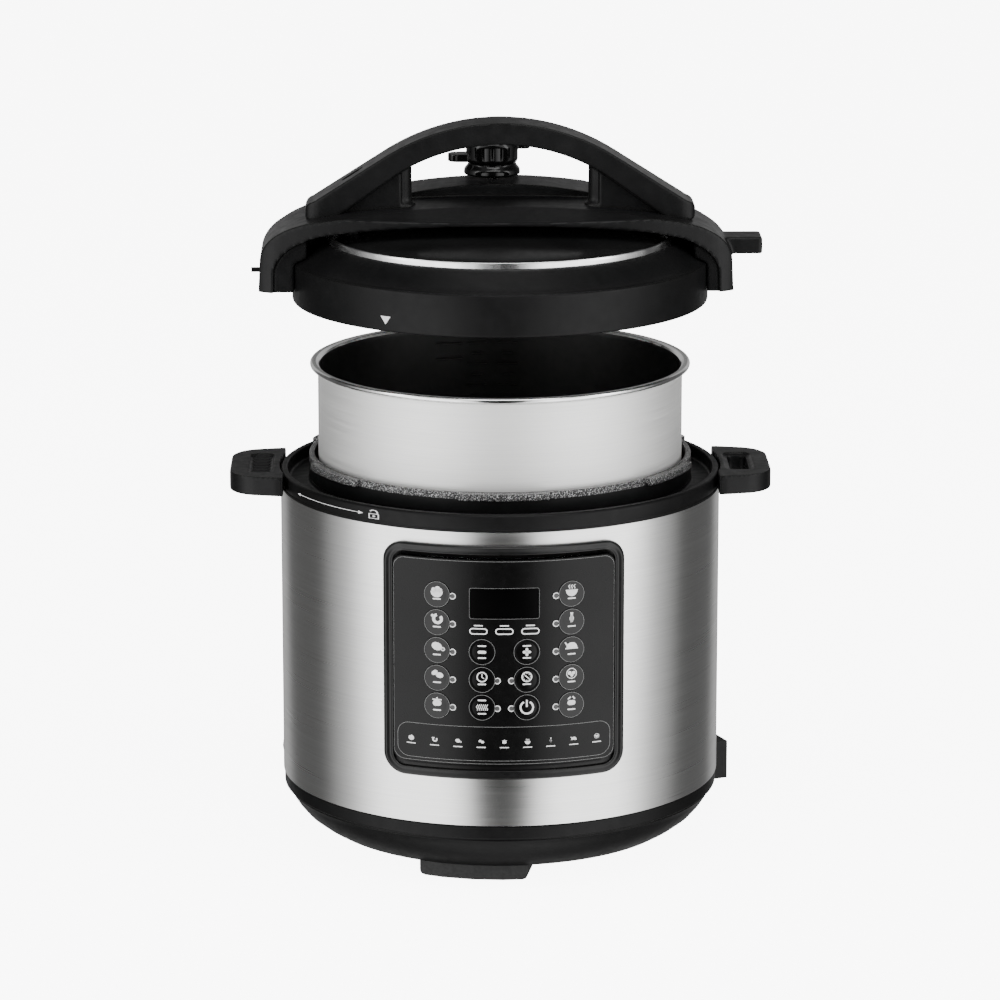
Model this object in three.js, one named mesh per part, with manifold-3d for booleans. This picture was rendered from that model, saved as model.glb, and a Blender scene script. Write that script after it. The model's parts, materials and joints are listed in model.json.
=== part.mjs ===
// Electric pressure cooker drawn apart: the base stands on the floor, the inner pot hangs half out of it
// and the lid floats above the pot. Millimetres, +Z up, front towards -Y, origin on the axis at the floor.
import * as THREE from 'three';
import { mergeVertices } from 'three/addons/utils/BufferGeometryUtils.js';
import Module from 'manifold-3d';

const wasm = await Module();
wasm.setup();

// ---- driving dimensions -------------------------------------------------------------------------------

const GAP = 0.3; // air left between pieces that touch
const ROUND = 36; // facets round the large turned pieces
const FEW = 12; // facets round the small ones
const REACH = 400; // longer than any cut has to be

// inner pot
const POT_RADIUS = 114.5;
const POT_DEPTH = 153.7; // from the seat under its rim to its underside
const POT_WALL = 1.5;
const POT_RIM = 5; // how far the rolled rim stands out from the wall
const POT_RIM_HEIGHT = 3;
const POT_CORNER = 14;
const POT_RAISE = 54.9; // lift of the pot out of its seat

// base, upwards
const FOOT_HEIGHT = 10;
const FOOT_WIDTH = 68;
const FOOT_DEPTH = 20;
const FOOT_ANGLES = [-10, 110, 230]; // degrees round from the front, to the right
const UNDER_POT = 86.1; // room under the pot for heater and electronics
const HOUSING_HEIGHT = 34; // plastic foot housing that shows below the shell
const HOUSING_BAND = 9; // straight band at the top of that housing
const HOUSING_WALL = 2.6;
const HOUSING_TAPER = 26; // how far the housing draws in towards the floor
const TONGUE = 8; // overlap of housing and collar inside the shell
const SHELL_WALL = 0.8;
const COLLAR_HEIGHT = 11;
const COLLAR_WALL = 4.5;
const CHANNEL_CLEARANCE = 4; // between the lid's skirt and the collar
const RING_STAND = 9.3; // locking ring above the collar
const RING_WALL = 3.6;
const POT_CLEARANCE = 2.3; // between pot wall and locking ring

// bayonet
const LUG_COUNT = 6;
const LUG_DEGREES = 26;
const LUG_REACH = 4.1;
const LUG_THICKNESS = 4.2;
const LID_LUG_DEGREES = 24;
const LID_LUG_THICKNESS = 3.5;
const LUG_PLAY = 0.8;

// base handles
const HANDLE_REACH = 31.5; // beyond the shell
const HANDLE_HALF_WIDTH = 44;
const HANDLE_THICKNESS = 12;
const SLOT_LENGTH = 40;
const SLOT_WIDTH = 11.4;

// heater
const PLATE_THICKNESS = 14;
const LINER_WALL = 1;
const SENSOR_RADIUS = 16;
const SENSOR_STEM = 6;

// control panel
const PANEL_WIDTH = 147;
const PANEL_TOP_MARGIN = 7.8;
const PANEL_BOTTOM_MARGIN = 30.4;
const PANEL_CORNER = 13;
const BEZEL_BORDER = 5.5;
const BEZEL_RIM = 9; // border above and below the overlay
const BEZEL_LAP = 2.5; // bezel over the edge of the shell's window
const BEZEL_STAND = 3.5; // bezel proud of the shell
const OVERLAY_THICKNESS = 3.5;
const PITCHES_DOWN = 7.37; // button pitches in the height of the overlay
const FIRST_ROW = 1.274; // pitches from the overlay's top to the first row
const COLUMNS_ACROSS = 5; // button columns' pitches in the width of the overlay
const BUTTON_GAP = 1.1;
const DISPLAY_WIDTH = 41;
const DISPLAY_HEIGHT = 17.6;

// lid, heights counted from the bottom of its skirt
const LID_DROP = 1.7; // skirt below the collar's top when closed
const LID_RAISE = 54; // lid above its closed place on the pot
const SKIRT_WALL = 3.4;
const SKIRT_HEIGHT = 26;
const SHOULDER_WIDTH = 21.5;
const SHOULDER_RISE = 12;
const DOME_RISE = 9;
const RIM_RISE = 3.7; // chrome rim above the cover
const RIM_SINK = 3; // its seat below the cover's edge
const LID_PLATE_WALL = 1;
const SEAL_HEIGHT = 8.5;
const SADDLE_HEIGHT = 60;
const SADDLE_FRONT = 42;
const SADDLE_BACK = 76;
const SADDLE_WALL = 3;
const HUMP_RISE = 7.4; // rear of the saddle above its middle
const HUMP_FRONT = 24;
const MOUTH_DROP = 9; // saddle's middle to the top of the opening under its front strip
const SADDLE_EAR_BOTTOM = 8;
const LEFT_EAR = 20.5; // beyond the skirt
const RIGHT_EAR = 15;
const EAR_CORNER = 34;
const LID_HANDLE_HEIGHT = 112;
const LID_HANDLE_ARC = 134;
const LID_HANDLE_END = 2.9; // top of the handle's ends above the saddle's middle
const LID_HANDLE_BAR = 13.5;
const LID_HANDLE_DEPTH = 32;
const LID_HANDLE_INSET = 8.5; // handle's end inside the skirt's radius
const POST_RADIUS = 6.5;
const POST_AT = 61.5;
const FIN_REACH = 18.5;
const FIN_WIDTH = 25;
const FIN_THICKNESS = 10.4;

// valves
const VALVE_X = -4;
const VALVE_Y = 58;
const PIPE_RADIUS = 4;
const KNOB_RADIUS = 16.5;
const KNOB_HEIGHT = 23;
const KNOB_TAB = 28;
const FLOAT_X = -92;
const FLOAT_RADIUS = 2.6;
const FLOAT_TRAVEL = 5;

// condensation collector and mains inlet
const COLLECTOR_WIDTH = 64;
const COLLECTOR_HEIGHT = 46;
const COLLECTOR_DEPTH = 8;
const INLET_ANGLE = 112;
const INLET_WIDTH = 38;
const INLET_HEIGHT = 25;
const INLET_STAND = 14; // beyond the shell
const SCREW_COUNT = 3;

// ---- sizes that follow --------------------------------------------------------------------------------

const FACET_SHARE = Math.cos(Math.PI / ROUND); // a facet's middle over its corners
const RING_BORE = POT_RADIUS + POT_CLEARANCE;
const RING_RADIUS = RING_BORE + RING_WALL;
const RING_LUG_RADIUS = RING_RADIUS + LUG_REACH;
const LID_LUG_BORE = RING_RADIUS + LUG_PLAY;
const LID_PLATE_BORE = RING_LUG_RADIUS + LUG_PLAY;
const LID_PLATE_RADIUS = LID_PLATE_BORE + LID_PLATE_WALL;
const SKIRT_BORE = LID_PLATE_RADIUS + GAP;
const LID_RADIUS = SKIRT_BORE + SKIRT_WALL;
const CHANNEL_RADIUS = LID_RADIUS + CHANNEL_CLEARANCE;
const SHELL_RADIUS = CHANNEL_RADIUS + COLLAR_WALL;
const SHELL_BORE = SHELL_RADIUS - SHELL_WALL;
const LINER_BORE = RING_BORE + 0.5;
const LINER_RADIUS = LINER_BORE + LINER_WALL;

const HOUSING_TOP = FOOT_HEIGHT + HOUSING_HEIGHT;
const POT_BOTTOM = FOOT_HEIGHT + UNDER_POT;
const RING_TOP = POT_BOTTOM + POT_DEPTH - GAP;
const COLLAR_TOP = RING_TOP - RING_STAND;
const SHELL_TOP = COLLAR_TOP - COLLAR_HEIGHT;
const LEDGE = COLLAR_TOP - 6; // the locking ring stands on it
const PLATE_TOP = POT_BOTTOM - GAP;
const LINER_FLOOR = PLATE_TOP - PLATE_THICKNESS - GAP;

const PANEL_TOP = SHELL_TOP - PANEL_TOP_MARGIN;
const PANEL_BOTTOM = HOUSING_TOP + PANEL_BOTTOM_MARGIN;
const PANEL_HEIGHT = PANEL_TOP - PANEL_BOTTOM;
const PANEL_MIDDLE = (PANEL_TOP + PANEL_BOTTOM) / 2;
const OVERLAY_WIDTH = PANEL_WIDTH - 2 * BEZEL_BORDER;
const OVERLAY_HEIGHT = PANEL_HEIGHT - 2 * BEZEL_RIM;
const OVERLAY_BACK = SHELL_RADIUS - 2;
const OVERLAY_FACE = OVERLAY_BACK + OVERLAY_THICKNESS;
const WINDOW_WIDTH = PANEL_WIDTH - 2 * BEZEL_LAP;
const WINDOW_HEIGHT = PANEL_HEIGHT - 2 * BEZEL_LAP;
const ROW_PITCH = OVERLAY_HEIGHT / PITCHES_DOWN;
const COLUMN_PITCH = OVERLAY_WIDTH / COLUMNS_ACROSS;
const ROW_TOP = PANEL_TOP - BEZEL_RIM - FIRST_ROW * ROW_PITCH;
const BUTTON_RADIUS = (ROW_PITCH - BUTTON_GAP) / 2;

const LID_CLOSED = COLLAR_TOP - LID_DROP;
const SEAL_BOTTOM = RING_TOP + 2 * GAP + POT_RIM_HEIGHT - LID_CLOSED;
const LID_PLATE_TOP = SEAL_BOTTOM + SEAL_HEIGHT + GAP + LID_PLATE_WALL;
const PLATE_FLAT = LID_PLATE_RADIUS - 22; // where the lid plate starts to dome
const PLATE_DOME = 5.5;
const RIM_SEAT = LID_RADIUS - SHOULDER_WIDTH; // chrome rim's outer radius
const RIM_SEAT_HEIGHT = SKIRT_HEIGHT + SHOULDER_RISE;
const DOME_RADIUS = RIM_SEAT - 3;
const DOME_EDGE = RIM_SEAT_HEIGHT - 2;
const KNOB_BASE = SADDLE_HEIGHT + HUMP_RISE + 0.8;
const LID_HANDLE_HALF = LID_RADIUS - LID_HANDLE_INSET;
const ARC_CENTRE = LID_HANDLE_HEIGHT - LID_HANDLE_ARC;

const BUTTONS = [
  { name: 'rice', column: -1.5, row: 0 },
  { name: 'seafood', column: -1.5, row: 1 },
  { name: 'meat', column: -1.5, row: 2 },
  { name: 'beans', column: -1.5, row: 3 },
  { name: 'slow_cook', column: -1.5, row: 4 },
  { name: 'soup', column: 1.5, row: 0 },
  { name: 'yogurt', column: 1.5, row: 1 },
  { name: 'poultry', column: 1.5, row: 2 },
  { name: 'vegetables', column: 1.5, row: 3 },
  { name: 'stew', column: 1.5, row: 4 },
  { name: 'minus', column: -0.5, row: 2 },
  { name: 'delay_timer', column: -0.5, row: 3 },
  { name: 'keep_warm', column: -0.5, row: 4 },
  { name: 'plus', column: 0.5, row: 2 },
  { name: 'pressure', column: 0.5, row: 3 },
  { name: 'power', column: 0.5, row: 4 },
];

// ---- looks --------------------------------------------------------------------------------------------

const look = (color, roughness, metalness) => new THREE.MeshStandardMaterial({ color, roughness, metalness });
const BLACK = look(0x1b1b1d, 0.55, 0);
const GLOSS = look(0x0a0a0b, 0.12, 0);
const STEEL = look(0xb9babb, 0.3, 1);
const CHROME = look(0xf2f2f2, 0.06, 1);
const CAST = look(0x77787a, 0.6, 0.8);
const SPECKLED = look(0x4a4a4c, 0.7, 0.2);
const ALUMINIUM = look(0xc9cacb, 0.35, 1);
const SILICONE = look(0xd9dadb, 0.6, 0);
const RUBBER = look(0x111111, 0.9, 0);
const BOARD = look(0x1f5a35, 0.6, 0);

// ---- solids -------------------------------------------------------------------------------------------

const radians = THREE.MathUtils.degToRad;

// A closed solid from a geometry whose faces meet edge to edge, turned so that its faces point out.
function solid(geometry) {
  geometry.deleteAttribute('normal');
  geometry.deleteAttribute('uv');
  const merged = mergeVertices(geometry, 1e-4);
  const points = merged.attributes.position;
  const corner = (i) => new THREE.Vector3().fromBufferAttribute(points, i);
  const faces = [];
  let volume = 0;
  for (let i = 0; i < merged.index.count; i += 3) {
    const [a, b, c] = [0, 1, 2].map((k) => merged.index.getX(i + k));
    if (a === b || b === c || a === c) continue;
    faces.push([a, b, c]);
    volume += corner(a).dot(corner(b).cross(corner(c)));
  }
  const outward = volume < 0 ? faces.map(([a, b, c]) => [a, c, b]) : faces;
  return new wasm.Manifold(new wasm.Mesh({
    numProp: 3,
    vertProperties: new Float32Array(points.array),
    triVerts: new Uint32Array(outward.flat()),
  }));
}

function geometryOf(shape) {
  const mesh = shape.getMesh();
  const geometry = new THREE.BufferGeometry();
  geometry.setAttribute('position', new THREE.BufferAttribute(new Float32Array(mesh.vertProperties), 3));
  geometry.setIndex(new THREE.BufferAttribute(new Uint32Array(mesh.triVerts), 1));
  return geometry;
}

function part(name, shape, material) {
  const mesh = new THREE.Mesh(geometryOf(shape), material);
  mesh.name = name;
  return mesh;
}

// A profile of [radius, height] points turned about Z. It starts and ends on the axis, or closes on itself.
function turned(profile, facets = ROUND) {
  const points = profile.map(([radius, height]) => new THREE.Vector2(radius, height));
  if (profile[0][0] > 0) points.push(points[0].clone());
  return solid(new THREE.LatheGeometry(points, facets).rotateX(Math.PI / 2));
}

const tube = (inner, outer, low, high, facets) =>
  turned([[inner, low], [outer, low], [outer, high], [inner, high]], facets);
const disc = (radius, low, high, facets) => turned([[0, low], [radius, low], [radius, high], [0, high]], facets);

const steps = (shape) => ({ steps: 1, bevelEnabled: false, curveSegments: 4, ...shape });

// A plan shape (x, y) raised from low to high.
function raised(shape, low, high) {
  return solid(new THREE.ExtrudeGeometry(shape, steps({ depth: high - low })).translate(0, 0, low));
}

// A front-view shape (x, z) drawn out from y = near to y = far.
function drawn(shape, near, far) {
  const geometry = new THREE.ExtrudeGeometry(shape, steps({ depth: far - near }));
  return solid(geometry.rotateX(Math.PI / 2).translate(0, far, 0));
}

// The same with rounded edges, drawn about y = 0.
function drawnSoft(shape, depth, bevel) {
  const options = { depth: depth - 2 * bevel, bevelEnabled: true, bevelSize: bevel, bevelThickness: bevel };
  const geometry = new THREE.ExtrudeGeometry(shape, steps({ ...options, bevelOffset: -bevel, bevelSegments: 2 }));
  return solid(geometry.rotateX(Math.PI / 2).translate(0, depth / 2 - bevel, 0));
}

// A rectangle with round corners, centred on (x, y).
function roundedRectangle(width, height, corner, x = 0, y = 0) {
  const [right, top] = [width / 2, height / 2];
  const shape = new THREE.Shape();
  const centres = [[right - corner, top - corner, 0], [corner - right, top - corner, 1],
    [corner - right, corner - top, 2], [right - corner, corner - top, 3]];
  for (const [cx, cy, quarter] of centres) {
    shape.absarc(x + cx, y + cy, corner, quarter * Math.PI / 2, (quarter + 1) * Math.PI / 2, false);
  }
  return shape;
}

function polygon(points) {
  return new THREE.Shape(points.map(([x, y]) => new THREE.Vector2(x, y)));
}

// A rod that points away from the axis, angle counted round from the front to the right.
function radialRod(radius, from, to, angle, height, facets = FEW) {
  const geometry = new THREE.CylinderGeometry(radius, radius, to - from, facets);
  return solid(geometry.translate(0, (from + to) / 2, 0).rotateZ(Math.PI + angle).translate(0, 0, height));
}

// A block that points away from the axis at an angle from the front.
function radialBlock(width, from, to, low, high, angle) {
  const geometry = new THREE.BoxGeometry(width, to - from, high - low);
  return solid(geometry.translate(0, -(from + to) / 2, (low + high) / 2).rotateZ(angle));
}

// Teeth of a bayonet: the sectors of a ring that a set of wedges leaves standing.
function teeth(ring, degreesWide, offset) {
  const half = radians(degreesWide / 2);
  let wedges;
  for (let i = 0; i < LUG_COUNT; i += 1) {
    const middle = radians(offset + (i * 360) / LUG_COUNT);
    const edge = (angle) => [REACH * Math.sin(angle), -REACH * Math.cos(angle)];
    const wedge = raised(polygon([[0, 0], edge(middle - half), edge(middle + half)]), -REACH, REACH);
    wedges = wedges ? wedges.add(wedge) : wedge;
  }
  return ring.intersect(wedges);
}

// ---- base ---------------------------------------------------------------------------------------------

const HOUSING_RADIUS = SHELL_RADIUS - 0.7;
const HOUSING_FOOT_RADIUS = HOUSING_RADIUS - HOUSING_TAPER;
const COVER_SEAT = HOUSING_FOOT_RADIUS - 8;
const COVER_THICKNESS = 1.7;
const SCREW_CIRCLE = COVER_SEAT - 6;

const screwAngles = Array.from({ length: SCREW_COUNT }, (_, i) => radians(50 + (i * 360) / SCREW_COUNT));

function verticalHoles(radius, circle, low, high) {
  return screwAngles.map((angle) =>
    disc(radius, low, high, FEW).translate([circle * Math.sin(angle), -circle * Math.cos(angle), 0]));
}

function inletBody(allowance) {
  const high = HOUSING_TOP + 1.5 + allowance;
  const low = high - INLET_HEIGHT - 2 * allowance;
  const width = INLET_WIDTH + 2 * allowance;
  return radialBlock(width, SHELL_RADIUS - 16 - allowance, SHELL_RADIUS + INLET_STAND, low, high,
    radians(INLET_ANGLE));
}

function bottomHousing() {
  const band = HOUSING_TOP - HOUSING_BAND;
  const tongueRadius = SHELL_BORE - GAP;
  const tongueBore = tongueRadius - 2.4;
  let shape = turned([
    [HOUSING_FOOT_RADIUS, FOOT_HEIGHT], [HOUSING_RADIUS - 12, FOOT_HEIGHT + 10],
    [HOUSING_RADIUS - 4.5, FOOT_HEIGHT + 18.5], [HOUSING_RADIUS - 1.2, band - 1], [HOUSING_RADIUS, band],
    [HOUSING_RADIUS, HOUSING_TOP - GAP], [tongueRadius, HOUSING_TOP - GAP],
    [tongueRadius, HOUSING_TOP + TONGUE], [tongueBore, HOUSING_TOP + TONGUE],
    [tongueBore, band], [HOUSING_RADIUS - 12 - HOUSING_WALL, FOOT_HEIGHT + 10 + HOUSING_WALL],
    [HOUSING_FOOT_RADIUS - 3, FOOT_HEIGHT + 4.4], [COVER_SEAT - 12, FOOT_HEIGHT + 4.4],
    [COVER_SEAT - 12, FOOT_HEIGHT + 2], [COVER_SEAT, FOOT_HEIGHT + 2], [COVER_SEAT, FOOT_HEIGHT],
  ]);
  shape = shape.subtract(inletBody(GAP));
  for (const hole of verticalHoles(1.9, SCREW_CIRCLE, 0, FOOT_HEIGHT + 5)) shape = shape.subtract(hole);
  return shape;
}

function bottomCover() {
  let shape = disc(COVER_SEAT - GAP, FOOT_HEIGHT, FOOT_HEIGHT + COVER_THICKNESS);
  for (let slot = -2; slot <= 2; slot += 1) {
    const length = 110 - 10 * Math.abs(slot);
    const opening = new THREE.BoxGeometry(length, 5, 2 * FOOT_HEIGHT).translate(0, slot * 14, FOOT_HEIGHT);
    shape = shape.subtract(solid(opening));
  }
  for (const hole of verticalHoles(1.9, SCREW_CIRCLE, 0, 2 * FOOT_HEIGHT)) shape = shape.subtract(hole);
  return shape;
}

function bottomScrew() {
  const head = FOOT_HEIGHT - GAP;
  const end = FOOT_HEIGHT + 4;
  return turned([[0, head - 1.4], [3.4, head - 1.4], [3.4, head], [1.6, head], [1.6, end], [0, end]], FEW);
}

function foot(angle) {
  const outside = HOUSING_FOOT_RADIUS - 0.5;
  const high = FOOT_HEIGHT - GAP;
  const ring = turned([[outside - FOOT_DEPTH, 0], [outside - 1.5, 0], [outside, 1.5], [outside, high],
    [outside - FOOT_DEPTH, high]]);
  const near = outside - FOOT_DEPTH - 10;
  const block = drawn(roundedRectangle(FOOT_WIDTH, 2 * high, 4, 0, high), -outside - 1, -near);
  return ring.intersect(block.rotate([0, 0, angle]));
}

function panelWindow(allowance) {
  const shape = roundedRectangle(WINDOW_WIDTH - 2 * allowance, WINDOW_HEIGHT - 2 * allowance,
    PANEL_CORNER - BEZEL_LAP, 0, PANEL_MIDDLE);
  return drawn(shape, -REACH, 0);
}

function outerShell() {
  const wall = tube(SHELL_BORE, SHELL_RADIUS, HOUSING_TOP, SHELL_TOP - GAP);
  return wall.subtract(panelWindow(0)).subtract(inletBody(GAP));
}

function collar() {
  const ledgeBore = LINER_RADIUS + GAP;
  const ledgeRadius = LID_LUG_BORE - 0.6;
  const tongueRadius = SHELL_BORE - GAP;
  const outside = SHELL_RADIUS + GAP;
  return turned([
    [outside, SHELL_TOP], [outside, COLLAR_TOP - 1], [outside - 1, COLLAR_TOP],
    [CHANNEL_RADIUS, COLLAR_TOP],
    [CHANNEL_RADIUS, LEDGE - 2], [ledgeRadius, LEDGE - 2], [ledgeRadius, LEDGE], [ledgeBore, LEDGE],
    [ledgeBore, LEDGE - 5], [tongueRadius - 2.4, LEDGE - 5], [tongueRadius - 2.4, SHELL_TOP - TONGUE],
    [tongueRadius, SHELL_TOP - TONGUE], [tongueRadius, SHELL_TOP],
  ]);
}

function baseHandlePlan() {
  const end = SHELL_RADIUS + HANDLE_REACH;
  const half = HANDLE_HALF_WIDTH;
  const shape = new THREE.Shape();
  shape.moveTo(SHELL_RADIUS - 14, -half);
  shape.lineTo(end - 18, 3 - half);
  shape.bezierCurveTo(end - 6, 5 - half, end, 16 - half, end, 26 - half);
  shape.lineTo(end, half - 26);
  shape.bezierCurveTo(end, half - 16, end - 6, half - 5, end - 18, half - 3);
  shape.lineTo(SHELL_RADIUS - 14, half);
  return shape;
}

function baseHandle() {
  const bevel = 1.6;
  const low = SHELL_TOP + GAP;
  const options = { depth: HANDLE_THICKNESS - 2 * bevel, bevelEnabled: true, bevelSize: bevel };
  const geometry = new THREE.ExtrudeGeometry(baseHandlePlan(),
    steps({ ...options, bevelThickness: bevel, bevelOffset: -bevel, bevelSegments: 2 }));
  const block = solid(geometry.translate(0, 0, low + bevel));
  return block.subtract(disc(SHELL_RADIUS + 2 * GAP, 0, REACH));
}

function rightHandle() {
  const middle = SHELL_RADIUS + HANDLE_REACH - 19.5;
  const slot = roundedRectangle(SLOT_WIDTH, SLOT_LENGTH, 2.5, middle, 0);
  return baseHandle().subtract(raised(slot, 0, REACH));
}

function lockingRing() {
  const low = RING_TOP - LUG_THICKNESS;
  const body = tube(RING_BORE, RING_RADIUS, LEDGE + GAP, RING_TOP);
  return body.add(teeth(tube(RING_BORE + 1, RING_LUG_RADIUS, low, RING_TOP), LUG_DEGREES, 0));
}

function linerBucket() {
  const inner = 60;
  return turned([[inner, LINER_FLOOR - LINER_WALL], [LINER_RADIUS, LINER_FLOOR - LINER_WALL],
    [LINER_RADIUS, LEDGE], [LINER_BORE, LEDGE], [LINER_BORE, LINER_FLOOR], [inner, LINER_FLOOR]]);
}

function heatingPlate() {
  const hole = SENSOR_RADIUS + 1;
  const radius = POT_RADIUS - POT_CORNER;
  return turned([[hole, LINER_FLOOR + GAP], [radius - 6, LINER_FLOOR + GAP], [radius - 6, LINER_FLOOR + 5],
    [radius, LINER_FLOOR + 7], [radius, PLATE_TOP], [hole, PLATE_TOP]], 24);
}

const SENSOR_SKIRT = PLATE_TOP - 6;
const BRACKET_TOP = LINER_FLOOR - LINER_WALL - GAP;

function temperatureSensor() {
  return turned([[0, BRACKET_TOP - 8], [SENSOR_STEM, BRACKET_TOP - 8], [SENSOR_STEM, SENSOR_SKIRT],
    [SENSOR_RADIUS, SENSOR_SKIRT], [SENSOR_RADIUS, PLATE_TOP], [0, PLATE_TOP]], 24);
}

// A helix of round wire, drawn as an extrusion along its own path.
function sensorSpring() {
  const wire = 0.7;
  const low = BRACKET_TOP + GAP + wire;
  const high = SENSOR_SKIRT - GAP - wire;
  const radius = SENSOR_STEM + 3;
  const turns = 4;
  const stepsRound = 10;
  const points = [];
  for (let step = 0; step <= turns * stepsRound; step += 1) {
    const angle = (step * 2 * Math.PI) / stepsRound;
    const height = low + ((high - low) * step) / (turns * stepsRound);
    points.push(new THREE.Vector3(radius * Math.cos(angle), radius * Math.sin(angle), height));
  }
  const path = new THREE.CatmullRomCurve3(points);
  const section = polygon([0, 1, 2, 3, 4].map((side) =>
    [wire * Math.cos(side * 0.4 * Math.PI), wire * Math.sin(side * 0.4 * Math.PI)]));
  const options = { steps: turns * stepsRound, extrudePath: path, bevelEnabled: false };
  return solid(new THREE.ExtrudeGeometry(section, options));
}

function sensorBracket() {
  const strip = raised(roundedRectangle(140, 22, 4), BRACKET_TOP - 1.5, BRACKET_TOP);
  return strip.subtract(disc(SENSOR_STEM + GAP, 0, REACH, 24));
}

function powerBoard() {
  const low = FOOT_HEIGHT + 12;
  const board = raised(roundedRectangle(120, 76, 3, 0, -20), low, low + 1.6);
  const relay = raised(roundedRectangle(22, 18, 1, -34, -30), low + 1, low + 18);
  const capacitor = disc(8, low + 1, low + 20, FEW).translate([8, -34, 0]);
  const transformer = raised(roundedRectangle(30, 26, 2, 38, -20), low + 1, low + 22);
  return board.add(relay).add(capacitor).add(transformer);
}

function controlBoard() {
  const back = LINER_RADIUS + 5.5;
  return drawn(roundedRectangle(88, OVERLAY_HEIGHT - 8, 2, 0, PANEL_MIDDLE), -back - 1.6, -back);
}

// ---- control panel ------------------------------------------------------------------------------------

const panelBand = (inner, outer) => tube(inner, outer, PANEL_BOTTOM - 1, PANEL_TOP + 1);
const buttonAngle = (column) => Math.asin((column * COLUMN_PITCH) / OVERLAY_FACE);
const buttonHeight = (row) => ROW_TOP - row * ROW_PITCH;
const DISPLAY_MIDDLE = buttonHeight(0.27);

function overlayOutline(allowance) {
  const width = OVERLAY_WIDTH + 2 * allowance;
  return drawn(roundedRectangle(width, OVERLAY_HEIGHT + 2 * allowance, 7, 0, PANEL_MIDDLE), -REACH, 0);
}

function panelBezel() {
  const outline = drawn(roundedRectangle(PANEL_WIDTH, PANEL_HEIGHT, PANEL_CORNER, 0, PANEL_MIDDLE), -REACH, 0);
  const back = SHELL_RADIUS - 5;
  const flange = panelBand(SHELL_RADIUS + GAP, SHELL_RADIUS + BEZEL_STAND).intersect(outline);
  const neck = panelBand(back, SHELL_RADIUS + 1).intersect(panelWindow(GAP));
  const seat = panelBand(OVERLAY_BACK - GAP, REACH).intersect(overlayOutline(GAP));
  return flange.add(neck).subtract(seat).subtract(overlayOutline(-3));
}

function displayOutline(allowance) {
  const width = DISPLAY_WIDTH + 2 * allowance;
  return drawn(roundedRectangle(width, DISPLAY_HEIGHT + 2 * allowance, 1.2, 0, DISPLAY_MIDDLE), -REACH, 0);
}

function panelOverlay() {
  let shape = panelBand(OVERLAY_BACK, OVERLAY_FACE).intersect(overlayOutline(0)).subtract(displayOutline(GAP));
  for (const { column, row } of BUTTONS) {
    const hole = radialRod(BUTTON_RADIUS + GAP, OVERLAY_BACK - 20, OVERLAY_FACE + 20, buttonAngle(column),
      buttonHeight(row));
    shape = shape.subtract(hole);
  }
  return shape;
}

function displayLens() {
  return panelBand(OVERLAY_BACK + 0.5, OVERLAY_FACE - 0.2).intersect(displayOutline(0));
}

// A key with a wide foot behind the overlay and a domed face in front of it, pointing along +Z.
function button() {
  const face = OVERLAY_FACE - OVERLAY_BACK;
  const wide = (ROW_PITCH - GAP) / 2;
  return turned([[0, -2.2], [wide, -2.2], [wide, -1.2], [BUTTON_RADIUS, -1.2],
    [BUTTON_RADIUS, face + 0.2], [0, face + 1]], FEW);
}

function placedButton({ name, column, row }) {
  const mesh = part(`button_${name}`, button(), GLOSS);
  mesh.rotation.x = Math.PI / 2;
  mesh.position.set(0, -OVERLAY_BACK, buttonHeight(row));
  const turn = new THREE.Group();
  turn.rotation.z = buttonAngle(column);
  turn.add(mesh);
  return turn;
}

// ---- side and rear pieces -----------------------------------------------------------------------------

function mainsInlet() {
  const angle = radians(INLET_ANGLE);
  const low = HOUSING_TOP + 1.5 - INLET_HEIGHT;
  const recess = radialBlock(INLET_WIDTH - 10, SHELL_RADIUS - 10, REACH, low + 4, low + INLET_HEIGHT - 4, angle);
  return inletBody(0).subtract(recess);
}

function inletPin(side) {
  const angle = radians(INLET_ANGLE);
  const low = HOUSING_TOP + 1.5 - INLET_HEIGHT;
  const middle = low + INLET_HEIGHT / 2 + (side === 0 ? 2.5 : -2);
  const pin = radialBlock(2, SHELL_RADIUS - 10 + GAP, SHELL_RADIUS + INLET_STAND - 6, middle - 2.5, middle + 2.5, 0);
  return pin.translate([side * 7, 0, 0]).rotate([0, 0, INLET_ANGLE]);
}

function sideCap() {
  const outline = new THREE.Shape();
  outline.absellipse(0, HOUSING_TOP + 7, 9, 5.5, 0, 2 * Math.PI, false);
  const block = drawn(outline, -SHELL_RADIUS - 1.6, -SHELL_RADIUS + 8).rotate([0, 0, -100]);
  return block.subtract(disc(SHELL_RADIUS + GAP, 0, REACH));
}

const COLLECTOR_TOP = SHELL_TOP - 12;
const COLLECTOR_BACK = SHELL_RADIUS + 2 * GAP;

function condensationCollector() {
  const wall = 1.2;
  const low = COLLECTOR_TOP - COLLECTOR_HEIGHT;
  const ring = tube(COLLECTOR_BACK, COLLECTOR_BACK + COLLECTOR_DEPTH, low, COLLECTOR_TOP);
  const hollow = tube(COLLECTOR_BACK + wall, COLLECTOR_BACK + COLLECTOR_DEPTH - wall, low + wall, REACH);
  const outline = (inset) => drawn(roundedRectangle(COLLECTOR_WIDTH - 2 * inset, 2 * REACH, 8, 0, 0), 0, REACH);
  return ring.intersect(outline(0)).subtract(hollow.intersect(outline(wall)));
}

// ---- inner pot, counted from its underside ------------------------------------------------------------

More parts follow.
